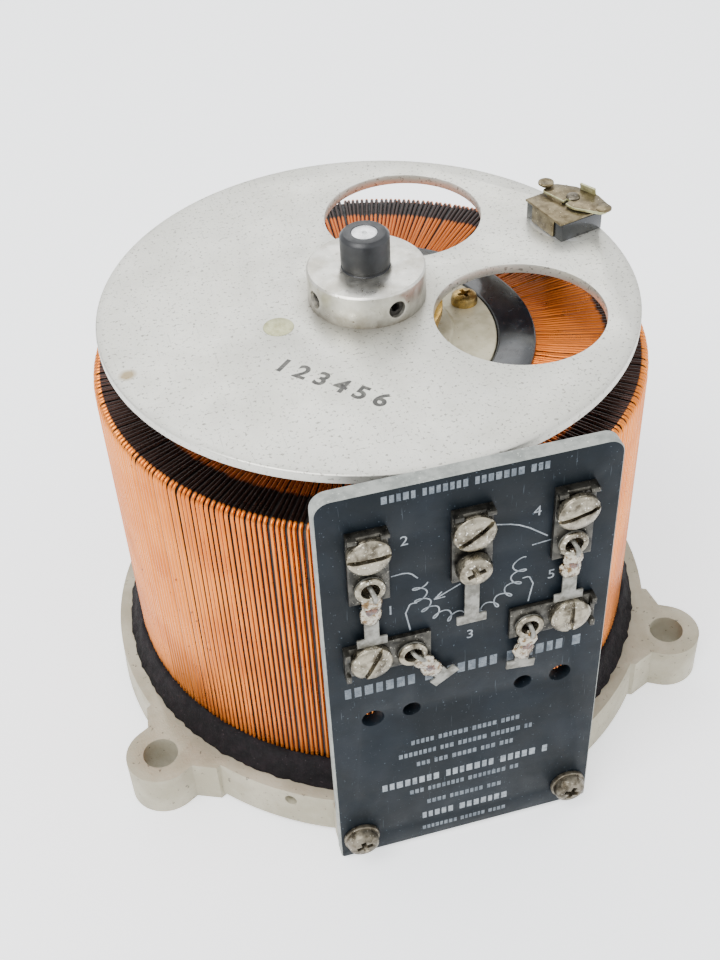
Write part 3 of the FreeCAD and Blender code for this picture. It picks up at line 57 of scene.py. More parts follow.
def linear(code: str) -> tuple[float, float, float, float]:
    """Turn an sRGB hex colour into linear RGBA.

    Args:
        code: six hex digits.

    Returns:
        Linear red, green, blue and an alpha of one.
    """
    parts = [int(code[i:i + 2], 16) / 255 for i in (0, 2, 4)]
    red, green, blue = (p / 12.92 if p <= 0.04045 else ((p + 0.055) / 1.055) ** 2.4 for p in parts)
    return red, green, blue, 1.0


def add(tree: bpy.types.NodeTree, kind: str, inputs: dict | None = None, **settings) -> bpy.types.Node:
    """Add a node with its settings, constants and links.

    Args:
        tree: the material's or the world's node tree.
        kind: the node's type, without its ShaderNode prefix.
        inputs: socket name or index to a constant or to another node's output.
        settings: properties of the node.

    Returns:
        The new node.
    """
    made = tree.nodes.new(f"ShaderNode{kind}")
    for name, value in settings.items():
        setattr(made, name, value)
    for name, value in (inputs or {}).items():
        if isinstance(value, bpy.types.NodeSocket):
            tree.links.new(value, made.inputs[name])
        else:
            made.inputs[name].default_value = value
    return made


Socket = bpy.types.NodeSocket


@dataclass(frozen=True)
class Finish:
    """A surface: two shades in soft patches, fine specks, and a grain that is felt in the gloss."""

    name: str
    base: str
    patch: str
    patch_mm: float = 9.0
    patch_low: float = 0.42
    patch_high: float = 0.62
    speck: str = "808080"
    speck_mm: float = 0.9
    speck_from: float = 0.8
    rough: float = 0.5
    rough_spread: float = 0.12
    metal: float = 0.0
    coat: float = 0.0
    coat_rough: float = 0.15
    specular: float = 0.5
    glow: float = 0.0
    grain_mm: float = 0.5
    grain_depth_mm: float = 0.02

    def noise(self, tree: bpy.types.NodeTree, place: Socket, size: float, detail: float = 4.0) -> Socket:
        """Cloudy noise whose lumps are about size millimetres across."""
        return add(tree, "TexNoise", {"Vector": place, "Scale": 1 / (size * MM), "Detail": detail,
                                      "Roughness": 0.6}).outputs["Fac"]

    def ramp(self, tree: bpy.types.NodeTree, value: Socket, low: float, high: float,
             to_low: float = 0.0, to_high: float = 1.0) -> Socket:
        """Stretch a value from low..high to to_low..to_high, held at both ends."""
        return add(tree, "MapRange", {"Value": value, "From Min": low, "From Max": high,
                                      "To Min": to_low, "To Max": to_high}).outputs["Result"]

    def blend(self, tree: bpy.types.NodeTree, share: Socket | float, under: Socket | str,
              over: Socket | str) -> Socket:
        """Lay one colour over another by a share.

        Args:
            tree: the material's node tree.
            share: how much of the upper colour shows, 0 to 1.
            under: the colour beneath.
            over: the colour on top.

        Returns:
            The colour that results.
        """
        colours = [linear(c) if isinstance(c, str) else c for c in (under, over)]
        mixed = add(tree, "Mix", {0: share, 6: colours[0], 7: colours[1]}, data_type="RGBA")
        return mixed.outputs[2]

    def layers(self, tree: bpy.types.NodeTree, place: Socket, colour: Socket) -> Socket:
        """Marks of this finish alone, laid over its colour; the plain finish has none."""
        return colour

    def height(self, tree: bpy.types.NodeTree, place: Socket) -> Socket:
        """Relief that the bump follows, from 0 to 1."""
        return self.noise(tree, place, self.grain_mm)

    def material(self) -> bpy.types.Material:
        """The material of this finish, made once; its name is its own, apart from the frame's.

        Returns:
            The finished material.
        """
        name = f"finish_{self.name}"
        made = bpy.data.materials.get(name)
        if made:
            return made
        made = bpy.data.materials.new(name)
        made.use_nodes = True
        tree = made.node_tree
        shader = tree.nodes["Principled BSDF"]
        place = add(tree, "TexCoord").outputs["Object"]
        clouds = self.noise(tree, place, self.patch_mm, 6.0)
        colour = self.blend(tree, self.ramp(tree, clouds, self.patch_low, self.patch_high),
                            self.base, self.patch)
        specks = self.noise(tree, place, self.speck_mm, 2.0)
        colour = self.blend(tree, self.ramp(tree, specks, self.speck_from, self.speck_from + 0.06),
                            colour, self.speck)
        colour = self.layers(tree, place, colour)
        tree.links.new(colour, shader.inputs["Base Color"])
        gloss = self.ramp(tree, self.noise(tree, place, self.patch_mm * 0.4), 0.3, 0.7,
                          self.rough - self.rough_spread, self.rough + self.rough_spread)
        tree.links.new(gloss, shader.inputs["Roughness"])
        bump = add(tree, "Bump", {"Height": self.height(tree, place), "Strength": 1.0,
                                  "Distance": self.grain_depth_mm * MM})
        tree.links.new(bump.outputs["Normal"], shader.inputs["Normal"])
        shader.inputs["Metallic"].default_value = self.metal
        shader.inputs["Coat Weight"].default_value = self.coat
        shader.inputs["Coat Roughness"].default_value = self.coat_rough
        shader.inputs["Specular IOR Level"].default_value = self.specular
        shader.inputs["Emission Color"].default_value = linear("F6F8FA")
        shader.inputs["Emission Strength"].default_value = self.glow
        return made


@dataclass(frozen=True)
class RolledSheet(Finish):
    """Satin rolled aluminium: fine one-way scratches, a worn crescent by the clip, a darker rim."""

    rim_mm: float = 52.4
    wear_at: tuple[float, float, float] = (47.33, 12.68, 91.7)
    wear_mm: tuple[float, float] = (6.9, 8.3)
    smear_at: tuple[float, float, float] = (-48.3, -10.9, 91.7)

    def layers(self, tree: bpy.types.NodeTree, place: Socket, colour: Socket) -> Socket:
        """Scratches, the crescent, the rim's darkening and one ochre smear.

        Args:
            tree: the material's node tree.
            place: object coordinates.
            colour: the colour so far.

        Returns:
            The colour with the marks on it.
        """
        stretched = add(tree, "Mapping", {"Vector": place, "Rotation": (0, 0, 0.9),
                                          "Scale": (1.0, 0.035, 1.0)}).outputs["Vector"]
        scratches = self.ramp(tree, self.noise(tree, stretched, 0.35, 2.0), 0.66, 0.74, 0.0, 0.55)
        colour = self.blend(tree, scratches, colour, "A3A29B")
        crossed = add(tree, "Mapping", {"Vector": place, "Rotation": (0, 0, -0.5),
                                        "Scale": (0.05, 1.0, 1.0)}).outputs["Vector"]
        bright = self.ramp(tree, self.noise(tree, crossed, 0.5, 2.0), 0.7, 0.76, 0.0, 0.5)
        colour = self.blend(tree, bright, colour, "F4F4F0")
        flat = add(tree, "VectorMath", {0: place, 1: (1.0, 1.0, 0.0)}, operation="MULTIPLY").outputs[0]
        radius = add(tree, "VectorMath", {0: flat}, operation="LENGTH").outputs["Value"]
        rim = self.ramp(tree, radius, (self.rim_mm - 1.6) * MM, self.rim_mm * MM, 0.0, 0.35)
        colour = self.blend(tree, rim, colour, "9B9A93")
        hub = self.ramp(tree, radius, 11.4 * MM, 15.5 * MM, 0.45, 0.0)
        colour = self.blend(tree, hub, colour, "8E877B")
        wobble = add(tree, "VectorMath", {0: add(tree, "TexNoise", {"Vector": place, "Scale": 260.0}
                                                 ).outputs["Color"], "Scale": 1.2 * MM},
                     operation="SCALE").outputs[0]
        moved = add(tree, "VectorMath", {0: place, 1: wobble}, operation="ADD").outputs[0]
        away = [add(tree, "VectorMath", {0: moved, 1: tuple(c * MM + 0.6 * MM for c in spot)},
                    operation="DISTANCE").outputs["Value"] for spot in (self.wear_at, self.smear_at)]
        past = self.ramp(tree, away[0], (self.wear_mm[0] - 0.2) * MM, (self.wear_mm[0] + 0.2) * MM)
        within = self.ramp(tree, away[0], (self.wear_mm[1] + 0.2) * MM, (self.wear_mm[1] - 0.2) * MM)
        inboard = self.ramp(tree, radius, 46.5 * MM, 44.0 * MM, 0.0, 0.9)
        ring = add(tree, "Math", {0: past, 1: within}, operation="MULTIPLY").outputs[0]
        ring = add(tree, "Math", {0: ring, 1: inboard}, operation="MULTIPLY").outputs[0]
        colour = self.blend(tree, ring, colour, "FBFBF8")
        colour = self.blend(tree, self.ramp(tree, away[1], 1.9 * MM, 0.8 * MM, 0.0, 0.75), colour, "8E7436")
        return colour


@dataclass(frozen=True)
class MagnetWire(Finish):
    """Enamelled copper: amber enamel on the sides, bare ground copper on the track, black varnish past it."""

    track_mm: float = 46.7
    varnish_mm: float = 53.4
    track_z_mm: float = 80.2

    def layers(self, tree: bpy.types.NodeTree, place: Socket, colour: Socket) -> Socket:
        """The ground track and the varnished band outside it.

        Args:
            tree: the material's node tree.
            place: object coordinates.
            colour: the colour so far.

        Returns:
            The colour with the marks on it.
        """
        flat = add(tree, "VectorMath", {0: place, 1: (1.0, 1.0, 0.0)}, operation="MULTIPLY").outputs[0]
        radius = add(tree, "VectorMath", {0: flat}, operation="LENGTH").outputs["Value"]
        height = add(tree, "SeparateXYZ", {"Vector": place}).outputs["Z"]
        on_top = self.ramp(tree, height, self.track_z_mm * MM, (self.track_z_mm + 0.35) * MM)
        ragged = add(tree, "Math", {0: radius, 1: add(tree, "Math", {
            0: self.noise(tree, place, 2.0), 1: 1.6 * MM}, operation="MULTIPLY").outputs[0]},
                     operation="ADD").outputs[0]
        inside = self.ramp(tree, ragged, (self.track_mm + 1.2) * MM, (self.track_mm + 0.4) * MM)
        band = self.blend(tree, inside, "30201B", "BC621E")
        inward = self.ramp(tree, radius, (self.varnish_mm + 0.15) * MM, (self.varnish_mm - 0.15) * MM)
        covered = add(tree, "Math", {0: on_top, 1: inward}, operation="MULTIPLY").outputs[0]
        return self.blend(tree, covered, colour, band)


@dataclass(frozen=True)
class Laminate(Finish):
    """Faced paper laminate, blue-black, with dust, rubs and light handling scratches."""

    def layers(self, tree: bpy.types.NodeTree, place: Socket, colour: Socket) -> Socket:
        """Hairline scratches and pale rubbed patches.

        Args:
            tree: the material's node tree.
            place: object coordinates.
            colour: the colour so far.

        Returns:
            The colour with the marks on it.
        """
        stretched = add(tree, "Mapping", {"Vector": place, "Rotation": (0, 0.5, 0),
                                          "Scale": (1.0, 1.0, 0.05)}).outputs["Vector"]
        hair = self.ramp(tree, self.noise(tree, stretched, 0.3, 2.0), 0.71, 0.77, 0.0, 0.35)
        colour = self.blend(tree, hair, colour, "5A646D")
        rubs = self.ramp(tree, self.noise(tree, place, 5.0, 8.0), 0.68, 0.8, 0.0, 0.4)
        return self.blend(tree, rubs, colour, "3E4850")


@dataclass(frozen=True)
class SoiledMetal(Finish):
    """Plated metal with brown grime that gathers low on the piece."""

    grime: str = "4A3F31"
    grime_from_z_mm: float = 95.0
    grime_to_z_mm: float = 91.7

    def layers(self, tree: bpy.types.NodeTree, place: Socket, colour: Socket) -> Socket:
        """Grime that thickens downwards and breaks up in noise.

        Args:
            tree: the material's node tree.
            place: object coordinates.
            colour: the colour so far.

        Returns:
            The colour with the marks on it.
        """
        height = add(tree, "SeparateXYZ", {"Vector": place}).outputs["Z"]
        ragged = add(tree, "Math", {0: height, 1: add(tree, "Math", {
            0: self.noise(tree, place, 1.6, 6.0), 1: 4.0 * MM}, operation="MULTIPLY").outputs[0]},
                     operation="ADD").outputs[0]
        share = self.ramp(tree, ragged, (self.grime_from_z_mm + 2.2) * MM,
                          (self.grime_to_z_mm + 1.2) * MM, 0.0, 0.75)
        return self.blend(tree, share, colour, self.grime)


# Sand-cast aluminium, shot-blasted and unpainted: granular, warm grey, dull.
CAST = Finish("sand_cast_aluminium", "9C9682", "ACA693", 11.0, speck="6E685A", speck_mm=1.1, speck_from=0.66,
              rough=0.6, rough_spread=0.08, metal=0.4, grain_mm=0.55, grain_depth_mm=0.12)
# Rolled aluminium sheet, etched satin: reads as a pale mottled grey with a broad soft highlight.
DISC = RolledSheet("satin_rolled_aluminium", "DAD9D0", "CFCEC4", 16.0, speck="98968D", speck_mm=0.7,
                   speck_from=0.6, rough=0.44, rough_spread=0.07, metal=0.82, grain_mm=0.8,
                   grain_depth_mm=0.012)
# Turned aluminium: brighter than the sheet, fine tool rings, grime where it meets the disc.
HUB = SoiledMetal("turned_aluminium", "D2D0C8", "B4B0A4", 5.0, speck="847C6D", speck_mm=0.8, speck_from=0.68,
                  rough=0.34, rough_spread=0.1, metal=0.95, grain_mm=0.35, grain_depth_mm=0.01)
# Black insulating tube over the shaft: moulded phenolic, soft gloss, dusty.
SLEEVE = Finish("black_phenolic_tube", "121316", "1C1E22", 4.0, speck="5A5C60", speck_mm=0.5, speck_from=0.74,
                rough=0.38, rough_spread=0.1, grain_mm=0.4, grain_depth_mm=0.01)
# Turned mild steel, face of the shaft's core: bright, fine rings.
STEEL = Finish("turned_steel", "E2E3E4", "C8C9CA", 2.0, speck="9A9A98", speck_mm=0.4, speck_from=0.72,
               rough=0.3, metal=1.0, grain_mm=0.2, grain_depth_mm=0.005)
# Oxidised zinc-plated steel: grey-brown, blotched, barely glossy.
ZINC = Finish("oxidised_zinc_plate", "777062", "413A2E", 1.6, speck="C9C4B4", speck_mm=0.35, speck_from=0.66,
              rough=0.42, rough_spread=0.14, metal=0.9, grain_mm=0.25, grain_depth_mm=0.03)
# Yellow-passivated screws of the clamp plate.
YELLOW_ZINC = Finish("passivated_zinc_plate", "B89A5C", "8F7A4E", 1.5, speck="E0D2A4", speck_mm=0.4,
                     speck_from=0.68, rough=0.36, metal=0.95, grain_mm=0.3, grain_depth_mm=0.015)
# Tarnished nickel plate on brass: warm grey with dark bloom and rubbed bright spots.
NICKEL = Finish("tarnished_nickel_plate", "948D7C", "4C463B", 2.2, speck="E6E2D6", speck_mm=0.5,
                speck_from=0.64, rough=0.33, rough_spread=0.14, metal=0.95, grain_mm=0.3, grain_depth_mm=0.03)
# Darker nickel of the terminal straps, dull from flux and dust.
STRAP = Finish("dull_nickel_plate", "4C4A44", "262522", 1.8, speck="9A968A", speck_mm=0.45, speck_from=0.66,
               rough=0.42, rough_spread=0.12, metal=0.9, grain_mm=0.3, grain_depth_mm=0.03)
# Tinned brass lugs: matt light grey.
TIN = Finish("tinned_brass", "8A8982", "5E5C54", 1.8, speck="8A8678", speck_mm=0.4, speck_from=0.68,
             rough=0.52, rough_spread=0.12, metal=0.5, grain_mm=0.25, grain_depth_mm=0.03)
# Tin-lead solder under amber rosin flux: lumpy, bright, with brown pools.
SOLDER = Finish("solder_with_rosin_flux", "A39D8E", "5E4622", 0.9, 0.46, 0.6, speck="3E2A16", speck_mm=0.5,
                speck_from=0.66, rough=0.26, rough_spread=0.12, metal=0.85, coat=0.5, grain_mm=0.3,
                grain_depth_mm=0.05)
# Pool of burnt rosin flux.
ROSIN = Finish("burnt_rosin_flux", "2E1408", "5C3214", 0.8, speck="9A8458", speck_mm=0.4, speck_from=0.7,
               rough=0.25, metal=0.1, coat=0.7, grain_mm=0.4, grain_depth_mm=0.03)
# Magnet wire: amber enamel over copper on the sides, bare and ground on the track.
WIRE = MagnetWire("enamelled_magnet_wire", "DC7F2C", "C66A20", 14.0, speck="8A4418", speck_mm=1.3,
                  speck_from=0.69, rough=0.3, rough_spread=0.08, metal=0.88, grain_mm=1.0,
                  grain_depth_mm=0.01)
# Coil cement: purple-brown, fibrous, chalky on its lumps.
CEMENT = Finish("fibrous_coil_cement", "080507", "140E11", 2.4, speck="4E4245", speck_mm=0.5, speck_from=0.7,
                rough=0.8, rough_spread=0.1, specular=0.2, grain_mm=0.45, grain_depth_mm=0.25)
# Moulded phenolic: glossy blue-black, dusty.
PHENOLIC = Finish("moulded_black_phenolic", "0A0D12", "12171D", 3.0, speck="6C747C", speck_mm=0.5,
                  speck_from=0.74, rough=0.22, rough_spread=0.08, coat=0.3, grain_mm=0.6,
                  grain_depth_mm=0.01)
# Cream-painted casting of the clamp plate.
CREAM = Finish("cream_alodised_casting", "BBB49B", "A59D84", 4.0, speck="8C8168", speck_mm=0.8,
               speck_from=0.68, rough=0.42, metal=0.45, grain_mm=0.6, grain_depth_mm=0.03)
# Laminate board: blue-black paper phenolic with a printed face.
BOARD = Laminate("faced_paper_laminate", "0A1116", "10181F", 13.0, speck="4A545D", speck_mm=0.5,
                 speck_from=0.7, rough=0.52, rough_spread=0.08, specular=0.14,
    grain_mm=0.4, grain_depth_mm=0.012)
# Sawn edge of the board: pale grey, where the resin is broken.
BOARD_EDGE = Finish("sawn_laminate_edge", "8E918C", "747874", 2.5, speck="B9BCB4", speck_mm=0.4,
                    speck_from=0.66, rough=0.66, grain_mm=0.25, grain_depth_mm=0.05)
# Screen-printed grey ink, rubbed thin in places.
INK = Finish("rubbed_grey_ink", "8B9196", "5E666D", 1.6, 0.4, 0.66, speck="39434C", speck_mm=0.35,
             speck_from=0.62, rough=0.6, grain_mm=0.3, grain_depth_mm=0.005)
# Faint ink of the finest printing, almost worn away.
FAINT_INK = Finish("worn_grey_ink", "656D74", "444D56", 1.4, 0.4, 0.64, speck="2C353E", speck_mm=0.3,
                   speck_from=0.6, rough=0.6, grain_mm=0.3, grain_depth_mm=0.005)
# Stamping ink on the disc: soft black, uneven.
STAMP = Finish("black_stamping_ink", "3A3936", "6B6963", 1.0, 0.45, 0.75, speck="8E8C85", speck_mm=0.3,
               speck_from=0.68, rough=0.55, grain_mm=0.3, grain_depth_mm=0.004)
# Phosphor bronze, aged to beige and olive.
BRONZE = Finish("aged_phosphor_bronze", "80745A", "5A4F3A", 2.0, speck="C4B795", speck_mm=0.5,
                speck_from=0.66, rough=0.36, rough_spread=0.12, metal=0.9, grain_mm=0.3,
                grain_depth_mm=0.02)
# Chromate-treated aluminium rivet: pale olive-gold.
RIVET = Finish("chromated_aluminium_rivet", "B9B892", "9C9A74", 1.4, speck="D9D9BE", speck_mm=0.4,
               speck_from=0.68, rough=0.4, metal=0.7, grain_mm=0.3, grain_depth_mm=0.01)
# Sintered bronze bushing, oily.
SINTERED = Finish("oiled_sintered_bronze", "9A7440", "7E5C30", 1.5, speck="C79E5E", speck_mm=0.3,
                  speck_from=0.66, rough=0.4, metal=0.9, grain_mm=0.2, grain_depth_mm=0.02)
# Turned brass slip ring.
BRASS = Finish("turned_brass", "C9A45A", "B08C46", 2.5, speck="7C6230", speck_mm=0.5, speck_from=0.7,
               rough=0.3, metal=1.0, grain_mm=0.3, grain_depth_mm=0.008)
# Sintered carbon: dull black with graphite sheen.
CARBON = Finish("sintered_carbon", "1B1B1D", "2A2A2D", 0.8, speck="4C4C50", speck_mm=0.2, speck_from=0.66,
                rough=0.5, grain_mm=0.15, grain_depth_mm=0.02)
# Wound silicon-steel strip of the core, varnished.
CORE = Finish("varnished_core_strip", "3C3A3A", "4C4844", 4.0, rough=0.45, metal=0.7, grain_mm=0.3)
# Moulded core cap, seen between the turns: a real part, but its near-black colour is painted shade for the
# dark gaps between the turns.
GAP_SHADE_CAP = Finish("cap_near_black_as_gap_shade", "0C0705", "140C08", 3.0, rough=0.55, grain_mm=0.6)
# Pressed vulcanised fibre: grey-brown, fuzzy.
FIBRE = Finish("vulcanised_fibre", "5A4C40", "4A3E34", 2.0, rough=0.7, grain_mm=0.2, grain_depth_mm=0.03)
# Varnished cotton sleeving on the take-off lead.
SLEEVING = Finish("varnished_cotton_sleeving", "8A7448", "6E5A36", 0.8, rough=0.55, grain_mm=0.3,
                  grain_depth_mm=0.05)
# Black oxide hex sockets of the set screws.
BLACK_OXIDE = Finish("black_oxide_steel", "2C2B2A", "45423E", 0.8, speck="8A857B", speck_mm=0.3,
                     speck_from=0.68, rough=0.4, metal=0.8, grain_mm=0.2, grain_depth_mm=0.01)
# Translucent studio sweep, lit from behind: near white, matt, a little luminous.
PAPER = Finish("studio_paper", "F1F2F3", "EFF0F2", 300.0, speck="F2F3F4", rough=0.9, glow=0.9, grain_mm=2.0,
               grain_depth_mm=0.0)


# --- mesh tools -------------------------------------------------------------------------------

def soften(bm: bmesh.types.BMesh, width: float, segments: int = 2, angle: float = 32.0) -> None:
    """Round every edge that turns by more than an angle.

    Args:
        bm: the mesh, in millimetres.
        width: how far the rounding reaches from the edge.
        segments: faces across the rounding.
        angle: least turn in degrees.
    """
    sharp = [e for e in bm.edges if e.is_manifold and e.calc_face_angle(0.0) > math.radians(angle)]
    bmesh.ops.bevel(bm, geom=sharp, offset=width, offset_type="OFFSET", segments=segments, profile=0.5,
                    affect="EDGES", clamp_overlap=True, material=-1)


def turned(profile: Sequence[Point], steps: int = 64, edge: float = 0.0, segments: int = 2,
           closed: bool = True) -> bmesh.types.BMesh:
    """Spin a profile of (radius, height) round the upright axis.

    Args:
        profile: corners of the half section.
        steps: faces round the axis.
        edge: width of the rounding on its sharp edges.
        segments: faces across that rounding.
        closed: join the last corner to the first, for a ring.

    Returns:
        The closed mesh.
    """
    bm = bmesh.new()
    verts = [bm.verts.new((r, 0, z)) for r, z in profile]
    pairs = list(zip(verts, verts[1:] + verts[:1])) if closed else list(zip(verts, verts[1:]))
    edges = [bm.edges.new(pair) for pair in pairs]
    bmesh.ops.spin(bm, geom=verts + edges, cent=(0, 0, 0), axis=(0, 0, 1), angle=math.tau, steps=steps,
                   use_merge=True)
    bmesh.ops.remove_doubles(bm, verts=bm.verts, dist=1e-4)
    bmesh.ops.dissolve_degenerate(bm, edges=bm.edges, dist=1e-5)
    bmesh.ops.recalc_face_normals(bm, faces=bm.faces)
    for face in bm.faces:
        face.smooth = True
    if edge:
        soften(bm, edge, segments)
    return bm


def block(low: Sequence[float], high: Sequence[float], edge: float = 0.15,
          segments: int = 2) -> bmesh.types.BMesh:
    """A box between two corners, with rounded edges.

    Args:
        low: the corner with the least coordinates.
        high: the corner with the greatest.
        edge: radius of the rounded edges.
        segments: steps in each rounded edge.

    Returns:
        The mesh of the box.
    """
    bm = bmesh.new()
    bmesh.ops.create_cube(bm, size=1.0)
    size = Vector(high) - Vector(low)
    bmesh.ops.scale(bm, vec=size, verts=bm.verts)
    bmesh.ops.translate(bm, vec=(Vector(high) + Vector(low)) / 2, verts=bm.verts)
    if edge:
        soften(bm, edge, segments)
    return bm


def rounded(corners: Path, radii: Sequence[float], segments: int = 6) -> Path:
    """Round chosen corners of a flat outline.

    Args:
        corners: the outline, counter-clockwise.
        radii: how far each corner's rounding reaches along its sides; zero keeps it sharp.
        segments: steps round a corner.

    Returns:
        The new outline, counter-clockwise.
    """
    bm = bmesh.new()
    verts = [bm.verts.new((x, y, 0)) for x, y in corners]
    bm.faces.new(verts)
    for reach in sorted(set(radii) - {0.0}):
        chosen = [v for v, r in zip(verts, radii) if r == reach and v.is_valid]
        bmesh.ops.bevel(bm, geom=chosen, offset=reach, offset_type="OFFSET", segments=segments, profile=0.5,
                        affect="VERTICES", clamp_overlap=False, material=-1)
    bm.faces.ensure_lookup_table()
    path = [(loop.vert.co.x, loop.vert.co.y) for loop in bm.faces[0].loops]
    bm.free()
    return path


def circle(x: float, y: float, radius: float, steps: int = 32) -> Path:
    """A round outline, counter-clockwise.

    Args:
        x: first coordinate of the middle.
        y: second coordinate of the middle.
        radius: its radius.
        steps: how many points.

    Returns:
        The points of the outline.
    """
    bm = bmesh.new()
    made = bmesh.ops.create_circle(bm, segments=steps, radius=radius)
    path = [(v.co.x + x, v.co.y + y) for v in made["verts"]]
    bm.free()
    area = sum(a[0] * b[1] - b[0] * a[1] for a, b in zip(path, path[1:] + path[:1]))
    return path if area > 0 else path[::-1]


def plate(outer: Path, holes: Iterable[Path], low: float, high: float, edge: float = 0.15,
          hole_edge: float | None = None) -> bmesh.types.BMesh:
    """A flat plate with holes and rounded edges, lying in XY.

    Args:
        outer: its outline, counter-clockwise.
        holes: outlines of its holes, counter-clockwise.
        low: height of its underside.
        high: height of its upper side.
        edge: rounding of the outer edges.
        hole_edge: rounding of the holes' edges, if another.

    Returns:
        The closed mesh; its side faces have material index 1.
    """
    bm = bmesh.new()
    out = bm.verts.layers.float_vector.new("out")
    home = bm.verts.layers.float_vector.new("home")
    ends: tuple[list, list] = ([], [])
    for number, path in enumerate([outer, *holes]):
        soft = edge if number == 0 or hole_edge is None else hole_edge
        levels = [(soft, low), (soft * 0.29, low + soft * 0.29), (0.0, low + soft), (0.0, high - soft),
                  (soft * 0.29, high - soft * 0.29), (soft, high)]
        sign = -1.0 if number == 0 else 1.0
        verts = [bm.verts.new((x, y, low)) for x, y in path]
        for before, vert, after in zip(verts[-1:] + verts[:-1], verts, verts[1:] + verts[:1]):
            arriving = (vert.co - before.co).normalized()
            leaving = (after.co - vert.co).normalized()
            normal = Vector((arriving.y + leaving.y, -arriving.x - leaving.x, 0)).normalized()
            miter = max(0.4, normal.dot(Vector((arriving.y, -arriving.x, 0))))
            vert[out] = normal * sign / miter
            vert[home] = Vector((vert.co.x, vert.co.y, 0))
        loop = [bm.edges.new(pair) for pair in zip(verts, verts[1:] + verts[:1])]
        for index, (inset, height) in enumerate(levels):
            if index:
                made = bmesh.ops.extrude_edge_only(bm, edges=loop)["geom"]
                verts = [v for v in made if isinstance(v, bmesh.types.BMVert)]
                loop = [e for e in made if isinstance(e, bmesh.types.BMEdge)
                        and all(v in verts for v in e.verts)]
            for vert in verts:
                vert.co = vert[home] + vert[out] * inset + Vector((0, 0, height))
            if index == 0:
                ends[0].extend(loop)
        ends[1].extend(loop)
    for face in bm.faces:
        face.smooth = True
        face.material_index = 1
    for edges in ends:
        for item in bmesh.ops.triangle_fill(bm, use_beauty=True, use_dissolve=False, edges=edges)["geom"]:
            if isinstance(item, bmesh.types.BMFace):
                item.smooth = False
                item.material_index = 0
    bmesh.ops.recalc_face_normals(bm, faces=bm.faces)
    bm.verts.layers.float_vector.remove(bm.verts.layers.float_vector["out"])
    bm.verts.layers.float_vector.remove(bm.verts.layers.float_vector["home"])
    return bm


def join(target: bmesh.types.BMesh, part: bmesh.types.BMesh, place: Matrix = Matrix.Identity(4),
         material: int | None = None) -> None:
    """Add a part to a mesh, moved by a matrix, and free it.

    Args:
        target: the mesh that grows.
        part: the mesh that is used up.
        place: where the part goes.
        material: material index for all its faces, if not its own.
    """
    if material is not None:
        for face in part.faces:
            face.material_index = material
    holder = bpy.data.meshes.new("part")
    part.to_mesh(holder)
    part.free()
    holder.transform(place)
    target.from_mesh(holder)
    bpy.data.meshes.remove(holder)


def turn(degrees: float, axis: str = "Z") -> Matrix:
    """Rotation about one of the row's axes."""
    return Matrix.Rotation(math.radians(degrees), 4, axis)


def roughen(bm: bmesh.types.BMesh, depth: float, size: float, seed: float = 0.0) -> None:
    """Push every vertex along its normal by layered noise of a given depth and lump size.

    Args:
        bm: the mesh to push.
        depth: how far the noise reaches.
        size: size of its lumps.
        seed: shift of the noise, so that no two pieces match.
    """
    bm.normal_update()
    for vert in bm.verts:
        spot = vert.co / size + Vector((seed, seed * 1.7, -seed))
        vert.co += vert.normal * depth * (noise.fractal(spot, 0.7, 2.1, 4) + 0.15)


def tube(route: Sequence[Sequence[float]], radius: float, sides: int = 2, steps: int = 8,
         cyclic: bool = False, straight: bool = False) -> bmesh.types.BMesh:
    """A round wire along a smooth curve through points.

    Args:
        route: points in millimetres.
        radius: radius of the wire.
        sides: bevel resolution; the section has four times that many sides, plus four.
        steps: faces along each span.
        cyclic: close the curve.
        straight: go straight from point to point.

    Returns:
        The mesh of the wire, with closed ends.
    """
    data = bpy.data.curves.new("wire", "CURVE")
    data.dimensions = "3D"
    data.bevel_depth = radius
    data.bevel_resolution = sides
    data.use_fill_caps = True
    data.resolution_u = steps
    spline = data.splines.new("POLY" if straight else "BEZIER")
    points = spline.points if straight else spline.bezier_points
    points.add(len(route) - 1)
    spline.use_cyclic_u = cyclic
    for point, place in zip(points, route):
        point.co = (*place, 1.0) if straight else place
        if not straight:
            point.handle_left_type = point.handle_right_type = "AUTO"
    holder = bpy.data.objects.new("wire", data)
    bpy.context.scene.collection.objects.link(holder)
    bpy.context.view_layer.update()
    mesh = bpy.data.meshes.new_from_object(holder)
    bm = bmesh.new()
    bm.from_mesh(mesh)
    bpy.data.objects.remove(holder)
    bpy.data.meshes.remove(mesh)
    bpy.data.curves.remove(data)
    bmesh.ops.remove_doubles(bm, verts=bm.verts, dist=1e-4)
    bmesh.ops.recalc_face_normals(bm, faces=bm.faces)
    for face in bm.faces:
        face.smooth = True
    return bm


def finish(bm: bmesh.types.BMesh, name: str, finishes: Sequence[Finish], body: str,
           nodes: Sequence[str] = (), sharp: float = 38.0) -> bpy.types.Object:
    """Turn a mesh into a finished piece of the object.

    Args:
        bm: the mesh in millimetres; it is used up.
        name: the piece's name.
        finishes: one for each material index.
        body: the CAD body that it rides on.
        nodes: CAD nodes that it stands for.
        sharp: turn in degrees past which an edge stays crisp.

    Returns:
        The piece, at the origin.
    """
    bmesh.ops.scale(bm, vec=(MM, MM, MM), verts=bm.verts)
    mesh = bpy.data.meshes.new(name)
    bm.to_mesh(mesh)
    bm.free()
    for item in finishes:
        mesh.materials.append(item.material())
    mesh.set_sharp_from_angle(angle=math.radians(sharp))
    piece = bpy.data.objects.new(name, mesh)
    bpy.context.scene.collection.objects.link(piece)
    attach(piece, body)
    if nodes:
        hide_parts(*nodes)
    LOG.info("%s: %d faces on %s", name, len(mesh.polygons), body)
    return piece


# Face of the terminal board: its own X is the row's X, its Y is the row's Z, and its Z points at -Y.
BOARD_BACK = 59.5
BOARD_FACE = 62.3


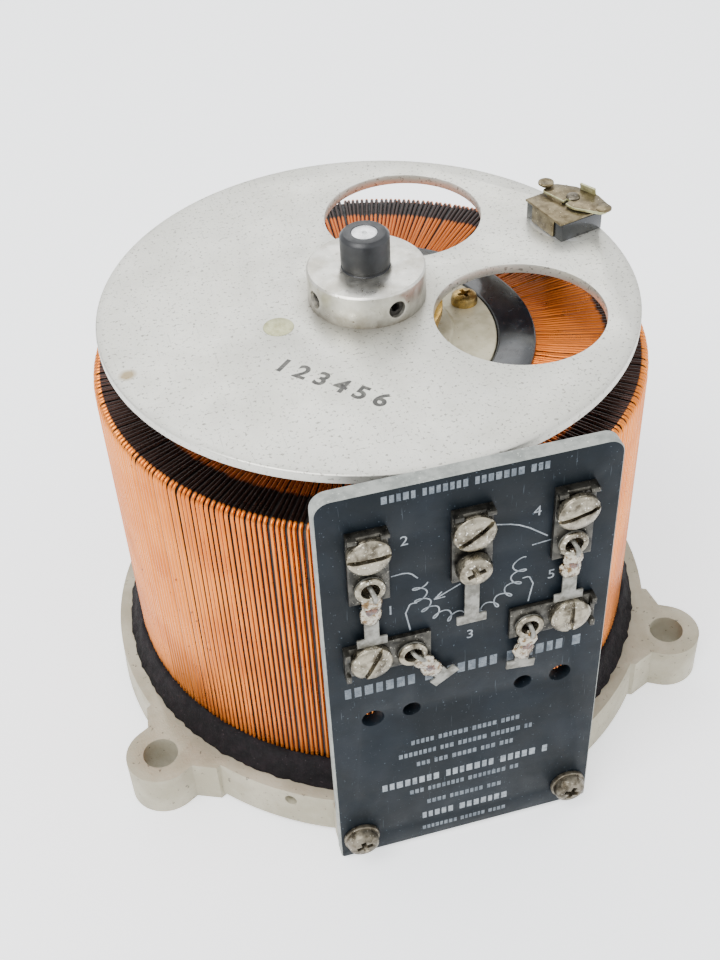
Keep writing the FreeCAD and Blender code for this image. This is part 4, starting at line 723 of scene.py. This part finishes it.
def on_board(x: float = 0.0, z: float = 0.0, proud: float = 0.0, spin: float = 0.0,
             tilt: float = 0.0) -> Matrix:
    """Place of something that lies on the board's face.

    Args:
        x: offset from the board's middle line.
        z: height in the row frame.
        proud: distance in front of the board's face.
        spin: turn on the face in degrees, counter-clockwise as seen.
        tilt: lean of the piece's top edge away from the board, in degrees.

    Returns:
        The matrix from the piece's own frame to the row frame.
    """
    face = Matrix(((1, 0, 0, x), (0, 0, -1, -BOARD_FACE - proud), (0, 1, 0, z), (0, 0, 0, 1)))
    return face @ turn(spin) @ turn(tilt, "X")


def from_cad(node: str) -> bmesh.types.BMesh:
    """A merged copy of a CAD node's mesh, in millimetres, with its flat faces made whole.

    Args:
        node: name of the CAD node.

    Returns:
        The merged mesh.
    """
    bm = bmesh.new()
    bm.from_mesh(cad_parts[node].data)
    bmesh.ops.scale(bm, vec=(1000, 1000, 1000), verts=bm.verts)
    bmesh.ops.remove_doubles(bm, verts=bm.verts, dist=1e-3)
    bmesh.ops.dissolve_limit(bm, angle_limit=math.radians(1.0), verts=bm.verts, edges=bm.edges,
                             use_dissolve_boundaries=False)
    bmesh.ops.recalc_face_normals(bm, faces=bm.faces)
    for face in bm.faces:
        face.smooth = True
    return bm


def softened(node: str, look: Finish, body: str, edge: float, angle: float = 40.0) -> None:
    """Stand a merged copy of a CAD node, with rounded edges, in its place.

    Args:
        node: the CAD node.
        look: its finish.
        body: the CAD body that it rides on.
        edge: width of the rounding.
        angle: least turn in degrees of an edge that is rounded.
    """
    bm = from_cad(node)
    soften(bm, edge, 2, angle)
    finish(bm, f"{node}_soft", [look], body, [node], sharp=50)


# --- coil -------------------------------------------------------------------------------------

@dataclass(frozen=True)
class Winding:
    """One layer of turns round the toroid, open behind the terminal board, and the cement at its foot."""

    turns: int = 290
    pitch_deg: float = 1.13
    wire: float = 0.36
    inner: float = 29.86
    outer: float = 54.50
    low: float = 7.38
    high: float = 80.90
    bend: float = 1.24
    crowded: float = 36.5
    track: tuple[float, float] = (33.0, 46.7)
    track_z: float = 81.12

    def one_turn(self) -> bpy.types.Mesh:
        """A closed loop of wire in the XZ half plane, squeezed where turns crowd and ground on top.

        Returns:
            The mesh of one turn.
        """
        corners = [(self.inner, self.low), (self.outer, self.low), (self.outer, self.high),
                   (self.inner, self.high)]
        path = rounded(corners, [self.bend] * 4, 3)
        bm = tube([(r, 0.0, z) for r, z in path], self.wire, 1, cyclic=True, straight=True)
        for r in (*self.track, self.crowded):
            bmesh.ops.bisect_plane(bm, geom=bm.verts[:] + bm.edges[:] + bm.faces[:], dist=1e-4,
                                   plane_co=(r, 0, 0), plane_no=(1, 0, 0))
        for vert in bm.verts:
            vert.co.y *= min(1.0, vert.co.x / self.crowded)
            if self.track[0] <= vert.co.x <= self.track[1]:
                vert.co.z = min(vert.co.z, self.track_z)
        mesh = bpy.data.meshes.new("turn")
        bm.to_mesh(mesh)
        bm.free()
        return mesh

    def build(self) -> None:
        """Make all turns and the bead of cement."""
        rng = random.Random(140)
        one = self.one_turn()
        bm = bmesh.new()
        for index in range(self.turns):
            at = 90.0 + (index - (self.turns - 1) / 2) * self.pitch_deg + rng.uniform(-0.12, 0.12)
            lean = Matrix.Translation((0, 0, self.low)) @ turn(rng.uniform(-0.15, 0.15), "X") \
                @ Matrix.Translation((rng.uniform(-0.04, 0.04), 0, -self.low))
            place = turn(at) @ lean
            one.transform(place)
            bm.from_mesh(one)
            one.transform(place.inverted())
        bpy.data.meshes.remove(one)
        finish(bm, "winding_turns", [WIRE], "base", ["winding"], sharp=60)
        profile = [(54.2, 7.05), (57.2, 7.05), (58.0, 8.3), (58.0, 9.6), (57.8, 10.7), (57.3, 11.8),
                   (56.8, 12.9), (56.4, 14.0), (55.9, 15.1), (55.5, 16.1), (54.9, 16.7), (54.2, 16.4),
                   (54.2, 13.0), (54.2, 10.0)]
        bead = turned(profile, 300)
        roughen(bead, 0.42, 1.9, 7.0)
        finish(bead, "coil_cement", [CEMENT], "base", ["cement_bead"], sharp=75)


# --- base and clamp ---------------------------------------------------------------------------

@dataclass(frozen=True)
class Base:
    """The sand-cast base, and the stack that clamps the coil: washer, clamp plate and its screws."""

    edge: float = 0.45
    screw_radius: float = 21.9
    screws_at: tuple[float, ...] = (12.0, 132.0, -108.0)

    def build(self) -> None:
        """Make the casting, the black washer, the cream plate and three cross-head screws."""
        softened("base_casting", CAST, "base", self.edge)
        washer = turned([(25.45, 79.35), (33.0, 79.35), (33.0, 82.3), (25.45, 82.3)], 128, 0.55, 3)
        finish(washer, "black_washer", [PHENOLIC], "base", ["upper_insulating_washer"])
        cream = turned([(7.1, 80.35), (25.3, 80.35), (25.3, 82.3), (17.2, 82.3), (16.6, 83.6), (7.1, 83.6)],
                       128, 0.35, 3)
        finish(cream, "clamp_casting", [CREAM], "base", ["clamp_plate"])
        bm = bmesh.new()
        for index, at in enumerate(self.screws_at):
            head = cross_head(CLAMP_HEAD, 2.05)
            place = turn(at) @ Matrix.Translation((self.screw_radius, 0, 82.32)) @ turn(37.0 * index)
            join(bm, head, place)
        finish(bm, "clamp_screw_heads", [YELLOW_ZINC], "base", ["clamp_screws"])


CLAMP_HEAD, BINDING_HEAD, SMALL_HEAD = 2.7, 3.75, 3.2  # radii of the screw heads, mm


def slotted_head(radius: float, height: float, slot: float, depth: float = 0.8) -> bmesh.types.BMesh:
    """A binding head with a straight slot along its own X, standing on z = 0.

    Args:
        radius: radius of the head.
        height: height of its crown.
        slot: width of the slot.
        depth: depth of the slot.

    Returns:
        The mesh of two lobes over a plain disc.
    """
    floor = height - depth
    bm = turned([(0, 0), (radius, 0), (radius, floor), (0, floor)], 40, 0.12)
    lobes = turned([(0, floor - 0.05), (radius, floor - 0.05), (radius, floor + depth * 0.25),
                    (radius * 0.86, floor + depth * 0.72), (radius * 0.5, height), (0, height)], 40)
    bmesh.ops.bisect_plane(lobes, geom=lobes.verts[:] + lobes.edges[:] + lobes.faces[:], dist=1e-4,
                           plane_co=(0, slot / 2, 0), plane_no=(0, -1, 0), clear_outer=True)
    rim = [e for e in lobes.edges if e.is_boundary]
    bmesh.ops.triangle_fill(lobes, edges=rim, use_beauty=True, use_dissolve=True)
    bmesh.ops.recalc_face_normals(lobes, faces=lobes.faces)
    soften(lobes, 0.1, 1, 50)
    twin = lobes.copy()
    join(bm, lobes)
    join(bm, twin, turn(180))
    return bm


def cross_head(radius: float, height: float) -> bmesh.types.BMesh:
    """A pan head with a cross recess, standing on z = 0.

    Args:
        radius: radius of the head.
        height: height of its crown.

    Returns:
        The mesh of the head.
    """
    arm, width = radius * 0.52, radius * 0.16
    plus = [(width, width), (width, arm), (-width, arm), (-width, width), (-arm, width), (-arm, -width),
            (-width, -width), (-width, -arm), (width, -arm), (width, -width), (arm, -width), (arm, width)]
    top = radius * 0.66
    bm = turned([(top, height), (radius * 0.9, height * 0.8), (radius, height * 0.4), (radius, 0),
                 (0, 0)], 40, closed=False)
    rim = [e for e in bm.edges if e.is_boundary]
    verts = [bm.verts.new((x, y, height)) for x, y in plus]
    ring = [bm.edges.new(pair) for pair in zip(verts, verts[1:] + verts[:1])]
    bmesh.ops.triangle_fill(bm, edges=rim + ring, use_beauty=True, use_dissolve=False)
    made = bmesh.ops.extrude_edge_only(bm, edges=ring)["geom"]
    low = [v for v in made if isinstance(v, bmesh.types.BMVert)]
    for vert in low:
        vert.co.x *= 0.6
        vert.co.y *= 0.6
        vert.co.z -= height * 0.75
    floor = [e for e in made if isinstance(e, bmesh.types.BMEdge) and all(v in low for v in e.verts)]
    bmesh.ops.triangle_fill(bm, edges=floor, use_beauty=True, use_dissolve=False)
    bmesh.ops.recalc_face_normals(bm, faces=bm.faces)
    return bm


# --- rotor ------------------------------------------------------------------------------------

@dataclass(frozen=True)
class Rotor:
    """The radiator disc with its hub, shaft, rivet, set screws and stamped number."""

    high: float = 91.7
    sleeve: float = 4.76
    core: float = 2.5
    shaft_high: float = 105.7

    def build(self) -> None:
        """Make each piece that turns."""
        softened("radiator_disc", DISC, "rotor", 0.08, 30.0)
        softened("hub_collar", HUB, "rotor", 0.3)
        softened("stop_rivet", RIVET, "rotor", 0.02)
        softened("set_screws", BLACK_OXIDE, "rotor", 0.08)
        sleeve = turned([(self.core, 2.02), (self.sleeve, 2.02), (self.sleeve, 98.5), (4.51, 98.5),
                         (4.51, 99.3), (self.sleeve, 99.3), (self.sleeve, self.shaft_high - 0.7),
                         (self.sleeve - 0.7, self.shaft_high), (self.core, self.shaft_high)], 64, 0.08, 1)
        finish(sleeve, "sleeve_tube", [SLEEVE], "rotor", ["shaft_sleeve"])
        core = turned([(0, 2.02), (self.core - 0.03, 2.02), (self.core - 0.03, self.shaft_high - 0.05),
                       (0.45, self.shaft_high - 0.05), (0.0, self.shaft_high - 0.4)], 48, 0.12, 2)
        finish(core, "shaft_end", [STEEL], "rotor", ["shaft_core"])
        self.stamp()

    def stamp(self) -> None:
        """The stamped number, a neutral run of digits."""
        place = Matrix.Translation((-22.7, -17.2, self.high + 0.005)) @ turn(-46.8)
        bm = lettering("123456", 3.7, 0.012, spacing=1.55, bold=0.16)
        bmesh.ops.scale(bm, vec=(23.4 / max(v.co.x for v in bm.verts), 1, 1), verts=bm.verts)
        bm.transform(place)
        finish(bm, "stamped_number", [STAMP], "rotor")


def lettering(text: str, height: float, thick: float, spacing: float = 1.0,
              centred: bool = False, bold: float = 0.0) -> bmesh.types.BMesh:
    """Generic digits as a thin solid lying in XY.

    Args:
        text: digits only.
        height: height of a digit.
        thick: how far the solid stands above z = 0.
        spacing: share of the font's own letter spacing.
        centred: put the middle of the line at the origin.
        bold: how much each stroke grows on both sides.

    Returns:
        The mesh in millimetres.
    """
    data = bpy.data.curves.new("digits", "FONT")
    data.body = text
    data.size = height / 0.72
    data.space_character = spacing
    data.extrude = thick / 2
    data.offset = bold
    data.resolution_u = 4
    if centred:
        data.align_x = "CENTER"
        data.align_y = "CENTER"
    holder = bpy.data.objects.new("digits", data)
    bpy.context.scene.collection.objects.link(holder)
    bpy.context.view_layer.update()
    mesh = bpy.data.meshes.new_from_object(holder)
    bm = bmesh.new()
    bm.from_mesh(mesh)
    bpy.data.objects.remove(holder)
    bpy.data.meshes.remove(mesh)
    bpy.data.curves.remove(data)
    bmesh.ops.translate(bm, vec=(0, 0, thick / 2), verts=bm.verts)
    bmesh.ops.remove_doubles(bm, verts=bm.verts, dist=1e-4)
    return bm


# --- brush ------------------------------------------------------------------------------------

@dataclass(frozen=True)
class BrushGear:
    """The spring clip over the brush, its pin, the cage round the brush and the brush itself."""

    radius: float = 49.0
    azimuth: float = 15.0

    def place(self, radius: float, height: float, spin: float = 0.0) -> Matrix:
        """Place on the brush's radius, own X outward."""
        return turn(self.azimuth) @ Matrix.Translation((radius, 0, height)) @ turn(spin)

    def build(self) -> None:
        """Make the clip from a slotted lozenge with a button and a tab, and soften the pieces under it."""
        outline = rounded([(-6.6, -1.9), (-0.4, -2.5), (-0.4, -1.35), (0.4, -1.35), (0.4, -3.0), (2.4, -3.4),
                           (7.2, -1.7), (8.5, -1.0), (8.5, 1.6), (7.4, 2.2), (3.5, 3.9), (-1.8, 3.9),
                           (-6.2, 2.0)],
                          [0.8, 0.15, 0.0, 0.0, 0.15, 0.6, 0.5, 0.6, 0.6, 0.5, 0.5, 0.5, 0.8], 4)
        bm = plate(outline, [circle(0.0, 0.0, 1.05, 24)], 96.35, 96.9, 0.14, 0.1)
        button = [(0, 96.8), (0.95, 96.8), (0.95, 97.2), (1.65, 97.35), (1.65, 97.75), (1.4, 97.9),
                  (0.9, 97.78), (0, 97.74)]
        join(bm, turned(button, 40, 0.05, 1), Matrix.Translation((-7.0, 0.1, 0)), 0)
        join(bm, turned([(0, 96.8), (1.6, 96.8), (1.6, 97.05), (1.3, 97.2), (0, 97.22)], 40),
             Matrix.Translation((7.4, 0.4, 0)), 0)
        tab = block((-1.9, -0.25, -0.3), (1.9, 0.25, 1.9), 0.16, 3)
        join(bm, tab, Matrix.Translation((1.2, 3.7, 96.6)) @ turn(14.0, "X"), 1)
        bent = block((-2.0, -0.2, -2.9), (2.0, 0.2, 0.1), 0.15, 2)
        join(bm, bent, Matrix.Translation((-2.9, -2.1, 96.5)) @ turn(-5.0) @ turn(-8.0, "X"), 0)
        bm.transform(self.place(self.radius, 0.0, -59.0 - self.azimuth))
        finish(bm, "clip_lozenge", [BRONZE, RIVET], "clip", ["brush_clip"])
        for node, look, body, slot, edge in (
                ("holder_cage", BRONZE, "rotor", "aged_bronze", 0.18),
                ("brush_holder", PHENOLIC, "rotor", "black_phenolic", 0.25),
                ("clip_pin", ZINC, "rotor", "plated_steel", 0.15),
                ("carbon_brush", CARBON, "brush", "carbon", 0.15)):
            softened(node, look, body, edge)


# --- board ------------------------------------------------------------------------------------

class Level(Enum):
    """Which row of the board a terminal is in."""

    UPPER = "upper"
    LOWER = "lower"


@dataclass(frozen=True)
class Terminal:
    """One terminal of the board: a strap with a binding screw, an eyelet and a solder lug."""

    name: str
    x: float
    screw_z: float
    eyelet_x: float
    eyelet_z: float
    slot_deg: float
    lug_deg: float
    lumpy: bool = False
    tilt: float = 0.0

    @property
    def level(self) -> Level:
        """The row of the board that the terminal is in, from the start of its name."""
        return Level(self.name.split("_")[0])


TERMINALS = (
    Terminal("upper_left", -17.8, 86.9, -17.8, 78.8, 0.0, 0.0, lumpy=True),
    Terminal("upper_center", 0.0, 86.9, 0.0, 78.8, 35.0, 0.0),
    Terminal("upper_right", 17.8, 86.9, 17.8, 78.8, 15.0, 0.0, lumpy=True, tilt=4.0),
    Terminal("lower_left", -18.25, 61.1, -10.75, 60.4, 63.0, 35.8, lumpy=True),
    Terminal("lower_right", 18.25, 61.1, 10.75, 60.4, 90.0, -6.8, lumpy=True),
)


@dataclass(frozen=True)
class Board:
    """The terminal board with its print, straps, screws, eyelets, lugs and lead ends."""

    half: float = 26.1
    low: float = 1.3
    high: float = 98.9

    def build(self) -> None:
        """Make the board and all that it carries."""
        outline = rounded([(-self.half, self.low), (self.half, self.low), (self.half, self.high),
                           (-self.half, self.high)], [0.8, 0.8, 3.0, 3.0], 8)
        spare = [circle(x, 43.4, r, 32) for x, r in ((-18.1, 2.1), (18.1, 2.1), (-10.75, 1.7), (10.75, 1.7))]
        bores = [circle(t.x, t.screw_z, 1.75, 24) for t in TERMINALS]
        bores += [circle(t.eyelet_x, t.eyelet_z, 1.95 if t.lumpy else 1.6, 24) for t in TERMINALS]
        bores += [circle(x, 7.4, 1.6, 24) for x in (-21.8, 21.8)]
        board = plate(outline, spare + bores, 0.0, BOARD_FACE - BOARD_BACK, 0.22, 0.12)
        for face in board.faces:
            spot = face.calc_center_median()
            if abs(spot.x) < self.half - 1.0 and self.low + 1.0 < spot.y < self.high - 1.0:
                face.material_index = 0
        board.transform(on_board(0, 0, -(BOARD_FACE - BOARD_BACK)))
        finish(board, "board_laminate_sheet", [BOARD, BOARD_EDGE], "base",
               ["terminal_board"])
        for item in TERMINALS:
            softened(f"{item.name}_strap", STRAP, "base", 0.14)
            self.lug(item)
        self.screws()
        softened("eyelets", NICKEL, "base", 0.12)
        softened("lock_washers", ZINC, "base", 0.12)
        self.small_screws()
        self.leads()
        self.printing()

    def lug(self, item: Terminal) -> None:
        """The solder lug, bent round its eyelet, with lumps of solder and a pool of flux.

        Args:
            item: the terminal that the lug belongs to.
        """
        bm = from_cad(f"{item.name}_lug")
        soften(bm, 0.1, 2, 40.0)
        pivot = on_board(item.eyelet_x, item.eyelet_z)
        bm.transform(pivot @ turn(item.lug_deg) @ pivot.inverted())
        for face in bm.faces:
            face.material_index = 0
        if item.lumpy:
            for k, (dy, size, squash) in enumerate(((-3.4, 1.7, 0.5), (-6.0, 1.9, 0.45), (-4.7, 1.2, 0.8))):
                blob = bmesh.new()
                bmesh.ops.create_icosphere(blob, subdivisions=4, radius=size)
                roughen(blob, 0.32, 1.1, item.x + k)
                bmesh.ops.scale(blob, vec=(1.0, 1.15, squash), verts=blob.verts)
                for face in blob.faces:
                    face.smooth = True
                place = on_board(item.eyelet_x, item.eyelet_z, 1.3, item.lug_deg) \
                    @ Matrix.Translation((0.15 * (-1) ** k, dy, 0.12))
                join(bm, blob, place, 2 if k == 2 else 1)
        finish(bm, f"{item.name}_lug_tag", [TIN, SOLDER, ROSIN], "base",
               [f"{item.name}_lug"], sharp=45)

    def screws(self) -> None:
        """Five slotted binding screws."""
        bm = bmesh.new()
        for item in TERMINALS:
            proud = 0.92 + (0.5 if item.tilt else 0.0)
            join(bm, slotted_head(BINDING_HEAD, 1.9, 0.9, 0.9),
                 on_board(item.x, item.screw_z, proud, item.slot_deg, item.tilt))
            join(bm, turned([(0, -5.6), (1.7, -5.6), (1.7, 0.2), (0, 0.2)], 24, 0.2),
                 on_board(item.x, item.screw_z, proud))
        finish(bm, "binding_screw_heads", [NICKEL], "base", ["binding_screws"])

    def small_screws(self) -> None:
        """The two cross-head screws that hold the board, and the one of the centre terminal."""
        bm = bmesh.new()
        for x, spin in ((-21.8, 12), (21.8, -25)):
            join(bm, cross_head(SMALL_HEAD, 2.05), on_board(x, 7.4, 0.92, spin))
        finish(bm, "board_screw_heads", [ZINC], "base", ["board_screws"])
        head = cross_head(SMALL_HEAD, 2.0)
        head.transform(on_board(0.0, 78.8, 1.38, 20))
        finish(head, "center_screw_head", [NICKEL], "base", ["center_lug_screw"])

    def leads(self) -> None:
        """Bare ends of the four tap leads, hooked out of their eyelets."""
        for item in TERMINALS:
            if item.name == "upper_center":
                continue
            x, z = item.eyelet_x, item.eyelet_z
            side = math.copysign(1.0, x)
            start = (x, -52.6, z) if item.level is Level.UPPER else (x + side * 5.0, -53.3, z)
            out = on_board(item.eyelet_x, item.eyelet_z, 0, item.lug_deg)
            hook = [out @ Vector(p) for p in ((0.3, -0.2, 1.9), (0.6, -1.2, 2.4), (0.6, -2.6, 1.9))]
            route = [start, (x, -57.5, z), (x, -62.5, z)] + [tuple(p) for p in hook]
            finish(tube(route, 0.42, 2), f"{item.name}_lead_wire", [TIN], "base",
                   [f"{item.name}_tap_lead"], sharp=60)

    def printing(self) -> None:
        """The generic winding diagram, digits and greeked rows, all as thin ink."""
        ink, faint = bmesh.new(), bmesh.new()
        arc = []
        for step in range(12 * 24 + 1):
            share = step / (12 * 24)
            at = math.radians(168 + share * 204)
            loop = math.tau * 11.5 * share
            radius = 8.9 - 1.25 * math.cos(loop)
            along = at + math.radians(5.0) * math.sin(loop)
            arc.append((radius * math.cos(along), 74.5 + radius * math.sin(along)))
        strokes = [arc, [(-13.8, 79.3), (-10.8, 79.2), (-9.2, 77.5)], [(10.9, 79.2), (15.3, 79.6)],
                   [(-9.4, 71.6), (-10.7, 71.5), (-10.7, 65.1)], [(9.5, 71.6), (10.8, 71.5), (10.8, 65.4)],
                   [(-1.7, 73.8), (-6.4, 71.4)], [(-6.4, 71.4), (-5.0, 72.9)], [(-6.4, 71.4), (-4.4, 71.5)],
                   [(3.9, 86.0), (8.4, 84.6), (13.6, 80.6)]]
        for path in strokes:
            self.stroke(ink, path, 0.26)
        for text, x, z in (("2", -11.4, 86.8), ("4", 11.5, 86.8), ("1", -14.1, 71.1), ("5", 14.8, 70.9),
                           ("3", 0.2, 60.3)):
            digit = lettering(text, 2.2, 0.012, centred=True)
            join(ink, digit, on_board(x, z, 0.006))
        rng = random.Random(7)
        for z, half, tall, look in ((96.7, 15.0, 1.6, faint), (51.9, 23.0, 2.6, faint),
                                    (33.2, 11.0, 1.3, faint),
                                    (29.7, 13.5, 1.3, faint), (26.2, 10.0, 1.3, faint),
                                    (21.0, 17.0, 2.0, ink), (17.5, 11.5, 1.3, faint),
                                    (13.1, 8.0, 1.3, faint), (8.7, 9.0, 1.9, ink), (4.4, 9.0, 1.2, faint)):
            self.row(look, rng, z, half, tall)
        finish(ink, "board_print", [INK], "base")
        finish(faint, "board_fine_print", [FAINT_INK], "base")

    def stroke(self, bm: bmesh.types.BMesh, path: Path, wide: float) -> None:
        """Lay a printed line along a path on the board."""
        line = tube([(x, z, 0.0) for x, z in path], wide / 2, 1, 3, straight=len(path) > 20)
        bmesh.ops.scale(line, vec=(1, 1, 0.05), verts=line.verts)
        join(bm, line, on_board(0, 0, 0.008))

    def row(self, bm: bmesh.types.BMesh, rng: random.Random, z: float, half: float, tall: float) -> None:
        """A greeked row: plain bars grouped like words, no letters.

        Args:
            bm: the mesh that takes the bars.
            rng: the random source of the bar widths.
            z: height of the row on the board.
            half: half the length of the row.
            tall: height of the bars.
        """
        x = -half
        while x < half - tall * 0.6:
            letters = rng.randint(3, 8)
            for _ in range(letters):
                wide = tall * rng.uniform(0.42, 0.62)
                if x + wide > half:
                    break
                bar = block((x, z - tall / 2, 0.002), (x + wide, z + tall / 2, 0.012), 0.0)
                join(bm, bar, on_board())
                x += wide + tall * 0.24
            x += tall * 0.5


# --- kept CAD nodes and studio ----------------------------------------------------------------

KEPT = {
    # The core caps take the near-black finish that paints the shade in the gaps between the turns.
    "coil_column": CAST, "core": CORE, "lower_core_cap": GAP_SHADE_CAP, "upper_core_cap": GAP_SHADE_CAP,
    "lower_insulating_washer": PHENOLIC, "stop_post": ZINC, "upper_bushing": SINTERED,
    "lower_bushing": SINTERED, "contact_insulator": FIBRE, "contact_leaf": BRONZE, "contact_screw": ZINC,
    "brush_lead": SLEEVING, "upper_thrust_washer": FIBRE, "lower_thrust_washer": FIBRE,
    "retaining_ring": ZINC, "backing_ring": BRASS, "slip_ring": BRASS, "stop_arm": ZINC,
    "brush_spring": BRONZE,
}


@dataclass(frozen=True)
class Studio:
    """A white sweep, a soft key from the upper left, a wide fill, and the camera."""

    lens: float = 50.5
    roll_deg: float = -3.11
    eye: tuple[float, float, float] = (-0.05325, -0.21072, 0.24005)
    aim: tuple[float, float, float] = (0.1707, 0.7216, -0.6710)
    right: tuple[float, float, float] = (0.97314, -0.23023, 0.0)

    def build(self) -> None:
        """Make floor, world, lamps and camera."""
        bm = bmesh.new()
        bmesh.ops.create_grid(bm, x_segments=2, y_segments=2, size=3.0)
        mesh = bpy.data.meshes.new("floor")
        bm.to_mesh(mesh)
        bm.free()
        mesh.materials.append(PAPER.material())
        floor = bpy.data.objects.new("floor", mesh)
        bpy.context.scene.collection.objects.link(floor)
        world = bpy.data.worlds.new("studio")
        bpy.context.scene.world = world
        world.use_nodes = True
        shade = world.node_tree.nodes["Background"]
        shade.inputs["Color"].default_value = linear("F6F8FA")
        shade.inputs["Strength"].default_value = 1.6
        for name, place, power, size in (("key", (-0.55, -0.35, 0.95), 14.0, 0.7),
                                         ("fill", (0.8, -0.6, 0.7), 3.0, 1.0),
                                         ("back", (0.1, 0.9, 0.9), 4.0, 0.8)):
            self.lamp(name, place, power, size)
        self.camera()

    def lamp(self, name: str, place: tuple[float, float, float], power: float, size: float) -> None:
        """Add a square soft lamp that faces the object.

        Args:
            name: name of the light.
            place: where it stands, in metres.
            power: its power in watts.
            size: side of the square, in metres.
        """
        data = bpy.data.lights.new(name, "AREA")
        data.energy, data.size = power, size
        lamp = bpy.data.objects.new(name, data)
        lamp.location = place
        lamp.rotation_mode = "QUATERNION"
        lamp.rotation_quaternion = (Vector((0, 0, 0.05)) - Vector(place)).to_track_quat("-Z", "Y")
        bpy.context.scene.collection.objects.link(lamp)

    def camera(self) -> None:
        """Set the camera from its eye, aim and roll."""
        data = bpy.data.cameras.new("camera")
        data.lens, data.sensor_width = self.lens, 36.0
        data.clip_start = 0.01
        ahead, right = Vector(self.aim).normalized(), Vector(self.right).normalized()
        up = right.cross(ahead)
        spun = Matrix.Rotation(math.radians(self.roll_deg), 3, -ahead)
        right, up = spun @ right, spun @ up
        camera = bpy.data.objects.new("camera", data)
        camera.matrix_world = Matrix(((right.x, up.x, -ahead.x, self.eye[0]),
                                      (right.y, up.y, -ahead.y, self.eye[1]),
                                      (right.z, up.z, -ahead.z, self.eye[2]), (0, 0, 0, 1)))
        bpy.context.scene.collection.objects.link(camera)
        bpy.context.scene.camera = camera


def main() -> None:
    """Build every sub-assembly in order."""
    logging.basicConfig(level=logging.INFO, format="%(name)s %(message)s")
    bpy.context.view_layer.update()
    for node, look in KEPT.items():
        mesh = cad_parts[node].data
        mesh.materials.clear()
        mesh.materials.append(look.material())
    for group in (Base(), Winding(), Rotor(), BrushGear(), Board(), Studio()):
        group.build()
    bpy.context.view_layer.update()


if __name__ == "__main__":
    main()
